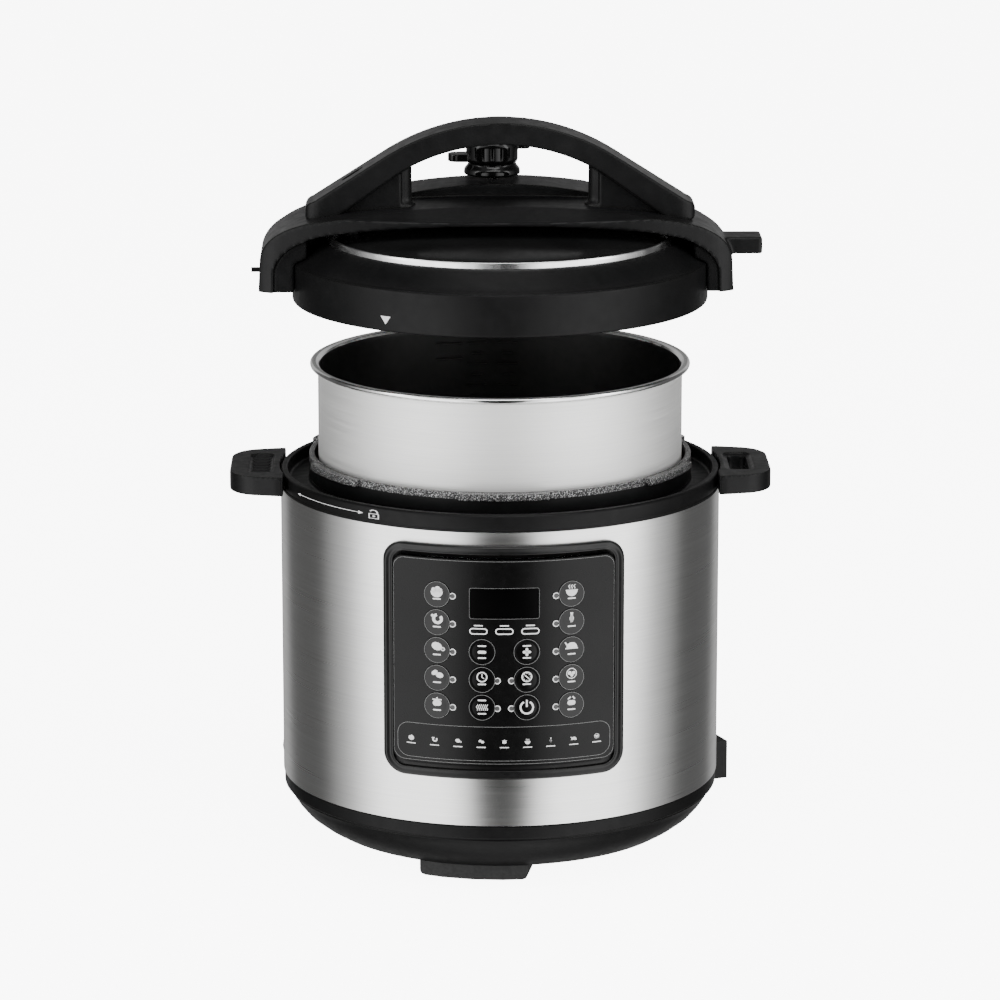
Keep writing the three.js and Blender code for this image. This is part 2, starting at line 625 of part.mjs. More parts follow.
function innerPot() {
  const outside = POT_RADIUS;
  const inside = POT_RADIUS - POT_WALL;
  const rim = outside + POT_RIM;
  const top = POT_DEPTH + POT_RIM_HEIGHT;
  const middle = outside - POT_CORNER;
  const corner = (radius) => [0, 1, 2, 3].map((step) => {
    const angle = (step * Math.PI) / 6;
    return [middle + radius * Math.sin(angle), POT_CORNER - radius * Math.cos(angle)];
  });
  return turned([
    [0, 0], ...corner(POT_CORNER),
    [outside, POT_DEPTH - 3], [outside + 1.2, POT_DEPTH], [rim - 0.6, POT_DEPTH], [rim, POT_DEPTH + 1.2],
    [rim - 1.2, top], [inside + 0.8, top], [inside, top - 1.6],
    ...corner(POT_CORNER - POT_WALL).reverse(), [0, POT_WALL],
  ]);
}

// ---- lid, counted from the bottom of its skirt --------------------------------------------------------

const SEAL_TOP = LID_PLATE_TOP - LID_PLATE_WALL - GAP;
const SEAL_BORE = POT_RADIUS - 4.5;

function sealingRing() {
  const outside = POT_RADIUS + POT_RIM + 2;
  return turned([[SEAL_BORE + 3, SEAL_BOTTOM], [outside - 1.5, SEAL_BOTTOM], [outside, SEAL_BOTTOM + 2.4],
    [outside, SEAL_TOP], [SEAL_BORE, SEAL_TOP], [SEAL_BORE, SEAL_BOTTOM + 2.4]]);
}

function ringRack() {
  const outside = SEAL_BORE * FACET_SHARE - GAP;
  return tube(outside - 1.2, outside, SEAL_TOP - 6, SEAL_TOP);
}

const plateRise = (radius) => (radius >= PLATE_FLAT ? 0 : (PLATE_DOME * (PLATE_FLAT - radius)) / (PLATE_FLAT - 50));

function lidPlate() {
  const wallBottom = RING_TOP - LUG_THICKNESS - LUG_PLAY - LID_LUG_THICKNESS - LID_CLOSED;
  const top = LID_PLATE_TOP;
  const wall = LID_PLATE_WALL;
  const cup = turned([
    [0, top - wall + PLATE_DOME], [50, top - wall + PLATE_DOME], [PLATE_FLAT, top - wall],
    [LID_PLATE_BORE, top - wall], [LID_PLATE_BORE, wallBottom], [LID_PLATE_RADIUS, wallBottom],
    [LID_PLATE_RADIUS, top], [PLATE_FLAT, top], [50, top + PLATE_DOME], [0, top + PLATE_DOME],
  ]);
  const lugRing = tube(LID_LUG_BORE, LID_PLATE_BORE + wall / 2, wallBottom, wallBottom + LID_LUG_THICKNESS);
  return cup.add(teeth(lugRing, LID_LUG_DEGREES, 180 / LUG_COUNT)).subtract(valveHole(PIPE_RADIUS + GAP))
    .subtract(floatHole(FLOAT_RADIUS + GAP));
}

const valveHole = (radius) => disc(radius, -REACH, REACH, FEW).translate([VALVE_X, VALVE_Y, 0]);
const floatHole = (radius) => disc(radius, -REACH, REACH, FEW).translate([FLOAT_X, 0, 0]);

// Top of the lid cover, from the skirt's edge in to the chrome rim: [distance in, share of the rise].
function shoulder(allowance) {
  return [[0.6, 0], [2.5, 0.05], [8, 0.39], [15, 0.77], [SHOULDER_WIDTH - 0.8, 1]].map(([inward, share]) =>
    [LID_RADIUS - inward + allowance, SKIRT_HEIGHT + share * SHOULDER_RISE + allowance]);
}

function lidCover() {
  const seat = RIM_SEAT_HEIGHT - RIM_SINK;
  return turned([
    [SKIRT_BORE, 0], [LID_RADIUS - 0.8, 0], [LID_RADIUS, 1], [LID_RADIUS, SKIRT_HEIGHT - 1.2], ...shoulder(0),
    [RIM_SEAT + GAP, RIM_SEAT_HEIGHT - 0.5], [RIM_SEAT + GAP, seat], [DOME_RADIUS - 1.5, seat],
    [DOME_RADIUS - 1.5, seat - 2.5], [LID_RADIUS - 13, SKIRT_HEIGHT + 4],
    [SKIRT_BORE, LID_PLATE_TOP + 1],
  ]);
}

function chromeRim() {
  const [inner, outer, low] = [DOME_RADIUS + GAP, RIM_SEAT, RIM_SEAT_HEIGHT - RIM_SINK + GAP];
  const top = RIM_SEAT_HEIGHT + RIM_RISE;
  return turned([[inner, low], [outer, low], [outer, top - 1], [outer - 0.8, top], [inner, top]]);
}

// Outline of the glossy dome as [radius, height].
function domeTop(allowance) {
  return [[0, DOME_RISE], [0.38, DOME_RISE * 0.93], [0.76, DOME_RISE * 0.58], [0.97, 1.6], [1, 0.8]].map(
    ([share, rise]) => [share * DOME_RADIUS, DOME_EDGE + rise + allowance]);
}

function lidDome() {
  const underside = domeTop(-2).reverse().slice(1);
  const shape = turned([...domeTop(0), [DOME_RADIUS, DOME_EDGE - 0.6], ...underside]);
  return shape.subtract(valveHole(PIPE_RADIUS + 4)).subtract(floatHole(FLOAT_RADIUS + 2));
}

// Everything below the saddle, turned about the axis and grown by the gap.
function underSaddle() {
  const rimTop = RIM_SEAT_HEIGHT + RIM_RISE + GAP;
  const inner = domeTop(GAP).slice(0, 3);
  return turned([[0, -REACH], [LID_RADIUS + GAP, -REACH], [LID_RADIUS + GAP, SKIRT_HEIGHT + GAP],
    ...shoulder(GAP), [RIM_SEAT + GAP, rimTop], [DOME_RADIUS - 1, rimTop], ...inner.reverse()]);
}

// Front view of the saddle: a low arch whose two ends turn down over the skirt.
function archOutline(inset, spread = 0) {
  const [left, right] = [-LID_RADIUS - LEFT_EAR + inset, LID_RADIUS + RIGHT_EAR - inset];
  const top = SADDLE_HEIGHT - inset;
  const bend = top - 9 - EAR_CORNER * 0.55;
  const shape = new THREE.Shape();
  shape.moveTo(left, SADDLE_EAR_BOTTOM - spread);
  shape.lineTo(left + 1, bend - 4);
  shape.bezierCurveTo(left + 2, bend + 10, left + 18, top - 10, left + EAR_CORNER, top - 7);
  shape.quadraticCurveTo(left / 2, top, 0, top);
  shape.quadraticCurveTo(right / 2, top, right - EAR_CORNER, top - 7);
  shape.bezierCurveTo(right - 18, top - 10, right - 2, bend + 10, right - 1, bend - 4);
  shape.lineTo(right, SADDLE_EAR_BOTTOM - spread);
  return shape;
}

function saddlePlan(inset) {
  const [left, right] = [-LID_RADIUS - LEFT_EAR, LID_RADIUS + RIGHT_EAR];
  const [front, back] = [SADDLE_FRONT - inset, SADDLE_BACK - inset];
  const ear = 28 - inset;
  const shape = new THREE.Shape();
  shape.moveTo(left - 5, -ear + 12);
  shape.quadraticCurveTo(left + 2, -ear, left + 14, -ear - 2);
  shape.quadraticCurveTo(left / 2, -front, 0, -front);
  shape.quadraticCurveTo(right / 2, -front, right - 14, -ear - 2);
  shape.quadraticCurveTo(right - 2, -ear, right + 5, -ear + 12);
  shape.lineTo(right + 5, ear - 12);
  shape.quadraticCurveTo(right - 2, ear, right - 14, ear + 2);
  shape.quadraticCurveTo(right * 0.6, back, 0, back);
  shape.quadraticCurveTo(left * 0.6, back, left + 14, ear + 2);
  shape.quadraticCurveTo(left + 2, ear, left - 5, ear - 12);
  return shape;
}

// The arch drawn back to front, its front strip and its rear sloping down.
function saddleBody(inset, spread) {
  const slope = (near, far, drop) => {
    const fall = (Math.atan2(drop, far - near) * 180) / Math.PI;
    const cut = solid(new THREE.BoxGeometry(2 * REACH, 2 * REACH, REACH).translate(0, 0, REACH / 2));
    return cut.rotate([near < 0 ? fall : -fall, 0, 0]).translate([0, near < 0 ? far : near, SADDLE_HEIGHT - inset]);
  };
  const arch = drawn(archOutline(inset, spread), -REACH, REACH);
  const plan = raised(saddlePlan(inset), -REACH, REACH);
  return arch.intersect(plan).subtract(slope(-SADDLE_FRONT, -14, 6)).subtract(slope(45, SADDLE_BACK, 10));
}

// Raised rear of the saddle, on which the steam knob sits.
function saddleHump(inset) {
  const half = 88;
  const foot = SADDLE_HEIGHT - 6 - inset;
  const shape = new THREE.Shape();
  shape.moveTo(-half, foot);
  shape.quadraticCurveTo(0, SADDLE_HEIGHT + 6 + 2 * HUMP_RISE - inset, half, foot);
  shape.lineTo(half - 4, foot - 6);
  shape.lineTo(4 - half, foot - 6);
  const rear = solid(new THREE.BoxGeometry(2 * REACH, REACH, REACH).translate(0, REACH / 2, REACH / 2))
    .rotate([-34, 0, 0]).translate([0, 62 - inset, SADDLE_HEIGHT + HUMP_RISE - inset]);
  return drawn(shape, HUMP_FRONT + inset, SADDLE_BACK).intersect(raised(saddlePlan(inset + 1), 0, REACH))
    .subtract(rear);
}

function saddleFin() {
  const right = LID_RADIUS + RIGHT_EAR;
  const low = 29;
  const plan = roundedRectangle(FIN_REACH + 8, FIN_WIDTH, 2, right + (FIN_REACH - 8) / 2, 0);
  return raised(plan, low, low + FIN_THICKNESS);
}

// Opening under the saddle's front strip, over the dome and into both ears.
const saddleMouth = () => drawn(archOutline(MOUTH_DROP, REACH), -REACH, -20);

function lidSaddle() {
  const hollow = saddleBody(SADDLE_WALL, REACH).add(saddleHump(SADDLE_WALL));
  const post = disc(PIPE_RADIUS + 9, 0, KNOB_BASE - 2, 24).translate([VALVE_X, VALVE_Y, 0]);
  const shell = saddleBody(0, 0).add(saddleHump(0)).subtract(hollow).subtract(saddleMouth()).add(saddleFin())
    .add(post);
  return shell.subtract(underSaddle()).subtract(valveHole(PIPE_RADIUS + 3)).subtract(floatHole(FLOAT_RADIUS + 2))
    .subtract(pinRod(1.6 + GAP, 4));
}

// Slope of the handle's straight ends, which run from the arc down to the height of the ends.
function handleSlope() {
  const endX = LID_HANDLE_HALF - 5;
  const rise = SADDLE_HEIGHT + LID_HANDLE_END - ARC_CENTRE;
  return Math.atan2(endX, rise) - Math.acos(LID_HANDLE_ARC / Math.hypot(endX, rise));
}

function handleOutline(drop) {
  const radius = LID_HANDLE_ARC - drop;
  const slope = handleSlope();
  const endX = LID_HANDLE_HALF - 5;
  const bendX = radius * Math.sin(slope);
  const bendZ = ARC_CENTRE + radius * Math.cos(slope);
  const endZ = bendZ - (endX - bendX) * Math.tan(slope);
  return { radius, slope, endX, endZ };
}

function handleBar() {
  const outer = handleOutline(0);
  const inner = handleOutline(LID_HANDLE_BAR);
  const nose = LID_HANDLE_HALF;
  const shape = new THREE.Shape();
  shape.moveTo(nose, SADDLE_HEIGHT - 14);
  shape.lineTo(nose, outer.endZ - 6);
  shape.quadraticCurveTo(nose, outer.endZ - 1, outer.endX, outer.endZ);
  shape.absarc(0, ARC_CENTRE, outer.radius, Math.PI / 2 - outer.slope, Math.PI / 2 + outer.slope, false);
  shape.lineTo(-outer.endX, outer.endZ);
  shape.quadraticCurveTo(-nose, outer.endZ - 1, -nose, outer.endZ - 6);
  shape.lineTo(-nose, SADDLE_HEIGHT - 14);
  shape.lineTo(14 - nose, SADDLE_HEIGHT - 14);
  shape.lineTo(14 - nose, inner.endZ + 3);
  shape.absarc(0, ARC_CENTRE, inner.radius, Math.PI / 2 + inner.slope, Math.PI / 2 - inner.slope, true);
  shape.lineTo(nose - 14, inner.endZ + 3);
  shape.lineTo(nose - 14, SADDLE_HEIGHT - 14);
  return shape;
}

// The arch of the handle, with a thinner web between each foot and its post.
function lidHandle() {
  const bar = drawnSoft(handleBar(), LID_HANDLE_DEPTH, 2.4);
  let shape = bar;
  for (const side of [-1, 1]) {
    const [near, far] = [POST_AT, LID_HANDLE_HALF - 8];
    const web = drawn(polygon([[side * near, SADDLE_HEIGHT - 14], [side * far, SADDLE_HEIGHT - 14],
      [side * far, handleOutline(6).endZ + 4], [side * near, LID_HANDLE_HEIGHT - 24]]), -10, 10);
    const post = disc(POST_RADIUS, SADDLE_HEIGHT - 14, LID_HANDLE_HEIGHT - 24, FEW).translate([side * POST_AT, 0, 0]);
    shape = shape.add(web).add(post);
  }
  const seat = drawn(archOutline(-GAP), -REACH, REACH);
  const slot = raised(roundedRectangle(13, 6.6, 3.2, FLOAT_X, 0), 0, REACH);
  return shape.subtract(seat).subtract(slot);
}

function pinRod(radius, depth) {
  const left = -LID_RADIUS - LEFT_EAR;
  const geometry = new THREE.CylinderGeometry(radius, radius, 5 + depth, FEW).rotateZ(Math.PI / 2);
  return solid(geometry.translate(left + (depth - 5) / 2, 0, 18));
}

function steamPipe() {
  const seat = LID_PLATE_TOP + plateRise(VALVE_Y) + GAP;
  const bottom = LID_PLATE_TOP - 8;
  const top = KNOB_BASE + 12;
  const bore = 1.4;
  return turned([[bore, bottom], [PIPE_RADIUS, bottom], [PIPE_RADIUS, seat + 0.6], [PIPE_RADIUS + 2.6, seat + 0.6],
    [PIPE_RADIUS + 2.6, seat + 4], [PIPE_RADIUS, seat + 4], [PIPE_RADIUS, top], [bore, top]], FEW)
    .translate([VALVE_X, VALVE_Y, 0]);
}

function steamKnob() {
  const top = KNOB_BASE + KNOB_HEIGHT;
  const bore = PIPE_RADIUS + GAP;
  const body = turned([[0, KNOB_BASE + 13], [bore, KNOB_BASE + 13], [bore, KNOB_BASE],
    [KNOB_RADIUS + 1.5, KNOB_BASE], [KNOB_RADIUS + 0.5, KNOB_BASE + 5], [KNOB_RADIUS - 1.5, KNOB_BASE + 7],
    [KNOB_RADIUS, KNOB_BASE + 9], [KNOB_RADIUS, top - 2], [KNOB_RADIUS - 2, top], [0, top]], 24);
  const tab = raised(roundedRectangle(KNOB_TAB, 14, 6.5, -KNOB_TAB / 2, 0), KNOB_BASE + 8.5, KNOB_BASE + 14.5);
  const tip = raised(roundedRectangle(KNOB_TAB - 4, 8, 3.8, KNOB_TAB / 2 - 2, 0), top - 7, top - 2);
  const core = disc(KNOB_RADIUS - 2, KNOB_BASE + 1, KNOB_BASE + 13, 24);
  return body.add(tab.subtract(core)).add(tip).translate([VALVE_X, VALVE_Y, 0]);
}

function antiBlockShield() {
  const high = LID_PLATE_TOP - LID_PLATE_WALL - 0.6;
  const low = high - 11;
  let shape = turned([[0, low], [11, low], [12, low + 1], [12, high], [11.2, high], [11.2, low + 0.9],
    [0, low + 0.9]], FEW);
  for (let i = 0; i < 3; i += 1) {
    const slit = solid(new THREE.BoxGeometry(3, 30, 5).translate(0, 0, high - 5));
    shape = shape.subtract(slit.rotate([0, 0, i * 60 + 15]));
  }
  return shape.translate([VALVE_X, VALVE_Y, 0]);
}

function floatValve() {
  const seat = LID_PLATE_TOP - LID_PLATE_WALL - GAP;
  const low = seat - FLOAT_TRAVEL - 3.2;
  const reach = handleOutline(0);
  const slopeTop = reach.endZ + (reach.endX + FLOAT_X) * Math.tan(reach.slope);
  const top = slopeTop - FLOAT_TRAVEL - 1;
  return turned([[0, low], [6, low], [6, low + 1.6], [FLOAT_RADIUS, low + 1.6], [FLOAT_RADIUS, top - 1],
    [FLOAT_RADIUS - 1, top], [0, top]], FEW).translate([FLOAT_X, 0, 0]);
}

function floatGasket() {
  const high = LID_PLATE_TOP - LID_PLATE_WALL - GAP;
  return tube(FLOAT_RADIUS + GAP, 6, high - 1.3, high, FEW).translate([FLOAT_X, 0, 0]);
}

// ---- assembly -----------------------------------------------------------------------------------------

const cooker = new THREE.Group();

cooker.add(
  part('bottom_housing', bottomHousing(), BLACK),
  part('bottom_cover', bottomCover(), BLACK),
  part('outer_shell', outerShell(), STEEL),
  part('collar', collar(), BLACK),
  part('right_handle', rightHandle(), BLACK),
  part('locking_ring', lockingRing(), SPECKLED),
  part('liner_bucket', linerBucket(), STEEL),
  part('heating_plate', heatingPlate(), CAST),
  part('temperature_sensor', temperatureSensor(), ALUMINIUM),
  part('sensor_spring', sensorSpring(), STEEL),
  part('sensor_bracket', sensorBracket(), STEEL),
  part('power_board', powerBoard(), BOARD),
  part('control_board', controlBoard(), BOARD),
  part('panel_bezel', panelBezel(), BLACK),
  part('panel_overlay', panelOverlay(), GLOSS),
  part('display_lens', displayLens(), GLOSS),
  part('mains_inlet', mainsInlet(), BLACK),
  part('side_cap', sideCap(), BLACK),
  part('condensation_collector', condensationCollector(), BLACK),
);

const leftHandle = part('left_handle', baseHandle(), BLACK);
leftHandle.rotation.z = Math.PI;
cooker.add(leftHandle);

const footNames = ['front_foot', 'right_rear_foot', 'left_rear_foot'];
FOOT_ANGLES.forEach((angle, i) => cooker.add(part(footNames[i], foot(angle), RUBBER)));

screwAngles.forEach((angle, i) => {
  const screw = part(`bottom_screw_${i + 1}`, bottomScrew(), STEEL);
  screw.position.set(SCREW_CIRCLE * Math.sin(angle), -SCREW_CIRCLE * Math.cos(angle), 0);
  cooker.add(screw);
});

['live', 'earth', 'neutral'].forEach((name, i) => cooker.add(part(`inlet_pin_${name}`, inletPin(i - 1), STEEL)));

for (const key of BUTTONS) cooker.add(placedButton(key));

const pot = part('inner_pot', innerPot(), ALUMINIUM);
pot.position.z = POT_BOTTOM + POT_RAISE;
cooker.add(pot);

const lid = new THREE.Group();
lid.position.z = LID_CLOSED + POT_RAISE + LID_RAISE;
lid.add(
  part('sealing_ring', sealingRing(), SILICONE),
  part('ring_rack', ringRack(), STEEL),
  part('lid_plate', lidPlate(), STEEL),
  part('lid_cover', lidCover(), BLACK),
  part('chrome_rim', chromeRim(), CHROME),
  part('lid_dome', lidDome(), GLOSS),
  part('lid_saddle', lidSaddle(), BLACK),
  part('lid_handle', lidHandle(), BLACK),
  part('lid_pin', pinRod(1.6, 3), BLACK),
  part('steam_pipe', steamPipe(), STEEL),
  part('steam_knob', steamKnob(), GLOSS),
  part('anti_block_shield', antiBlockShield(), STEEL),
  part('float_valve', floatValve(), ALUMINIUM),
  part('float_gasket', floatGasket(), SILICONE),
);
cooker.add(lid);

export default cooker;
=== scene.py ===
import json
import math

import bmesh
import bpy
from mathutils import Matrix, Vector

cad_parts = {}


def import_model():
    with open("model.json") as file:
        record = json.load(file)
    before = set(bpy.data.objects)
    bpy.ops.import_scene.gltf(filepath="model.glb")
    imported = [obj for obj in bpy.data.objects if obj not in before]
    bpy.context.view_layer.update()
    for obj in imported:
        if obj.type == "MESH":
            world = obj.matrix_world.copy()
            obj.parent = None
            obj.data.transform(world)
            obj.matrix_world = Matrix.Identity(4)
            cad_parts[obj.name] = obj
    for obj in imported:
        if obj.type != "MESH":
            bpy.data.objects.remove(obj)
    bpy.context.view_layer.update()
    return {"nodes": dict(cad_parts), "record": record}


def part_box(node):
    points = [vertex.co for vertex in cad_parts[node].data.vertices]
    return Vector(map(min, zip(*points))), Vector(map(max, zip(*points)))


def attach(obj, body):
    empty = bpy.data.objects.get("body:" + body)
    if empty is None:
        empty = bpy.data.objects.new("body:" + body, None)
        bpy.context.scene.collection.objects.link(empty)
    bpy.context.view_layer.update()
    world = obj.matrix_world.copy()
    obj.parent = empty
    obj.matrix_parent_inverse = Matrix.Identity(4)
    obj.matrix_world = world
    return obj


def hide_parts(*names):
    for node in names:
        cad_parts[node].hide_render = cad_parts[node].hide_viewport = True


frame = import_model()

MM = 0.001


def low(node, axis=2):
    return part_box(node)[0][axis] / MM


def high(node, axis=2):
    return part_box(node)[1][axis] / MM


# ---- sizes in mm, from the frame ----

SHELL_RADIUS = high("outer_shell", 0)
HOUSING_TOP = low("outer_shell")
SHELL_TOP = low("collar") + 8
COLLAR_TOP = high("collar")
CHANNEL_RADIUS = SHELL_RADIUS - 4.5
RING_TOP = high("locking_ring")
RING_LOW = low("locking_ring")
RING_LUG = high("locking_ring", 1)
RING_BORE = RING_LUG - 7.7
PANEL_TOP, PANEL_BOTTOM = high("panel_bezel"), low("panel_bezel")
PANEL_MIDDLE = (PANEL_TOP + PANEL_BOTTOM) / 2
PANEL_WIDTH = high("panel_bezel", 0) - low("panel_bezel", 0)
PANEL_HEIGHT = PANEL_TOP - PANEL_BOTTOM
OVERLAY_FACE = -low("panel_overlay", 1)
OVERLAY_WIDTH = high("panel_overlay", 0) - low("panel_overlay", 0)
OVERLAY_HEIGHT = high("panel_overlay") - low("panel_overlay")
OVERLAY_THICK = 3.5
DOME = 0.35  # rise of a button's face over its rim
BUTTON_RADIUS = (high("button_rice") - low("button_rice")) / 2 - 0.4
POT_LOW, POT_TOP = low("inner_pot"), high("inner_pot")
POT_RIM = high("inner_pot", 0)
POT_RADIUS = POT_RIM - 5
LID = low("lid_cover")
LID_RADIUS = high("lid_cover", 0)
SKIRT = 26.0  # lid heights are over the cover's lower edge
SHOULDER = 12.0
SADDLE_MIDDLE = 60.0
SADDLE_STRIP = 8.2  # thickness of its front strip
RIM_SEAT = high("chrome_rim", 0)
RIM_TOP = high("chrome_rim") - LID
DOME_TOP = high("lid_dome") - LID
LID_PLATE_RADIUS = high("lid_plate", 0)
HUMP_TOP = high("lid_saddle") - LID
SADDLE_LEFT, SADDLE_RIGHT = low("lid_saddle", 0), LID_RADIUS + 15
HANDLE_TOP = high("lid_handle") - LID
HANDLE_HALF = high("lid_handle", 0)
KNOB = [(low("steam_pipe", axis) + high("steam_pipe", axis)) / 2 for axis in (0, 1)]
KNOB_LOW, KNOB_TOP = low("steam_knob") - LID, high("steam_knob") - LID

BUTTON_NODES = [node for node in frame["nodes"] if node.startswith("button_")]


# ---- mesh helpers ----

def finished(name, bm, material, body, replaces=(), crease=35):
    """A visible piece from a bmesh: smooth except along edges sharper than crease degrees."""
    bmesh.ops.remove_doubles(bm, verts=bm.verts, dist=1e-7)
    for face in bm.faces:
        face.smooth = True
    for edge in bm.edges:
        edge.smooth = len(edge.link_faces) == 2 and edge.calc_face_angle(0) < math.radians(crease)
    piece = in_scene(bm, name, *(material if isinstance(material, list) else [material]))
    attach(piece, body)
    if replaces:
        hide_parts(*replaces)
    return piece


def softened(profile, radius, closed):
    """Each sharp corner of a profile becomes a small curve."""
    count = len(profile)
    result = []
    for i, here in enumerate(profile):
        before, after = profile[i - 1], profile[(i + 1) % count]
        if not closed and i in (0, count - 1):
            result.append(here)
            continue
        back = Vector(before) - Vector(here)
        on = Vector(after) - Vector(here)
        if back.length < 1e-6 or on.length < 1e-6:
            continue
        if back.angle(on) > math.radians(158):
            result.append(here)
            continue
        reach = min(radius, 0.42 * back.length, 0.42 * on.length)
        start = Vector(here) + back.normalized() * reach
        end = Vector(here) + on.normalized() * reach
        for step in (0, 1, 2, 3):
            t = step / 3
            point = start * (1 - t) ** 2 + Vector(here) * 2 * t * (1 - t) + end * t ** 2
            result.append(tuple(point))
    return result


def turned(profile, base=0.0, segments=192, soft=0.6, centre=(0, 0), bm=None):
    """A profile of (radius, height) in mm turned about the vertical through centre."""
    closed = profile[0][0] > 1e-6
    points = softened(profile, soft, closed) if soft else list(profile)
    bm = bm or bmesh.new()
    rings = []
    for radius, height in points:
        z = (height + base) * MM
        if radius < 1e-6:
            rings.append([bm.verts.new((centre[0] * MM, centre[1] * MM, z))] * segments)
            continue
        angles = (2 * math.pi * k / segments for k in range(segments))
        rings.append([bm.verts.new(((centre[0] + radius * math.sin(a)) * MM,
                                    (centre[1] - radius * math.cos(a)) * MM, z)) for a in angles])
    pairs = list(zip(rings, rings[1:])) + ([(rings[-1], rings[0])] if closed else [])
    for one, two in pairs:
        for k in range(segments):
            n = (k + 1) % segments
            corners = []
            for vert in (one[k], one[n], two[n], two[k]):
                if vert not in corners:
                    corners.append(vert)
            if len(corners) > 2:
                bm.faces.new(corners)
    bmesh.ops.recalc_face_normals(bm, faces=bm.faces)
    return bm


def prism(outline, near, far, plane, bm=None):
    """A closed outline in mm: (x, z) drawn along Y, (x, y) raised along Z, or (y, z) drawn along X."""
    bm = bm or bmesh.new()
    place = {"xz": lambda u, v, w: (u, w, v), "xy": lambda u, v, w: (u, v, w), "yz": lambda u, v,
             w: (w, u, v)}
    ends = [[bm.verts.new(Vector(place[plane](u, v, w)) * MM) for u, v in outline] for w in (near, far)]
    faces = [bm.faces.new(ends[0]), bm.faces.new(list(reversed(ends[1])))]
    for k in range(len(outline)):
        n = (k + 1) % len(outline)
        faces.append(bm.faces.new((ends[0][n], ends[0][k], ends[1][k], ends[1][n])))
    bmesh.ops.recalc_face_normals(bm, faces=faces)
    return bm


def curve(*points, steps=10):
    """Points on a quadratic or cubic Bezier, without its first point."""
    result = []
    for step in range(1, steps + 1):
        level = [Vector(point) for point in points]
        while len(level) > 1:
            level = [a.lerp(b, step / steps) for a, b in zip(level, level[1:])]
        result.append(tuple(level[0]))
    return result


def arc(x, y, radius, start, end, steps=12):
    angles = [math.radians(start + (end - start) * k / steps) for k in range(steps + 1)]
    return [(x + radius * math.cos(a), y + radius * math.sin(a)) for a in angles]


def rounded(width, height, corner, x=0.0, y=0.0, steps=6):
    right, top = width / 2 - corner, height / 2 - corner
    centres = ((right, top, 0), (-right, top, 90), (-right, -top, 180), (right, -top, 270))
    return [point for cx, cy, a in centres for point in arc(x + cx, y + cy, corner, a, a + 90, steps)]


def both_sides(points):
    """A closed outline from its half with y below 0."""
    return points + [(x, -y) for x, y in reversed(points)]


def turn_about(bm, degrees_round):
    matrix = Matrix.Rotation(math.radians(degrees_round), 3, "Z")
    bmesh.ops.rotate(bm, cent=(0, 0, 0), matrix=matrix, verts=bm.verts)
    return bm


def in_scene(bm, name="temporary", *materials):
    mesh = bpy.data.meshes.new(name)
    bm.to_mesh(mesh)
    bm.free()
    for material in materials:
        mesh.materials.append(material)
    piece = bpy.data.objects.new(name, mesh)
    bpy.context.scene.collection.objects.link(piece)
    return piece


def evaluated(piece, *others):
    """The mesh that a piece's modifiers make. The piece and the others are then thrown away."""
    bpy.context.view_layer.update()
    graph = bpy.context.evaluated_depsgraph_get()
    mesh = bpy.data.meshes.new_from_object(piece.evaluated_get(graph))
    bm = bmesh.new()
    bm.from_mesh(mesh)
    bpy.data.meshes.remove(mesh)
    for one in (piece, *others):
        bpy.data.meshes.remove(one.data)
    return bm


def combined(first, second, operation="DIFFERENCE"):
    target, tool = in_scene(first), in_scene(second)
    modifier = target.modifiers.new("cut", "BOOLEAN")
    modifier.operation = operation
    modifier.solver = "EXACT"
    modifier.object = tool
    return evaluated(target, tool)


def moulded(bm, voxel=1.0, rounds=6):
    """Overlapping closed solids become one skin with soft edges, as a moulding has."""
    target = in_scene(bm)
    remesh = target.modifiers.new("skin", "REMESH")
    remesh.mode = "VOXEL"
    remesh.voxel_size = voxel * MM
    smooth = target.modifiers.new("soft", "SMOOTH")
    smooth.factor = 0.5
    smooth.iterations = rounds
    return evaluated(target)


# ---- materials ----

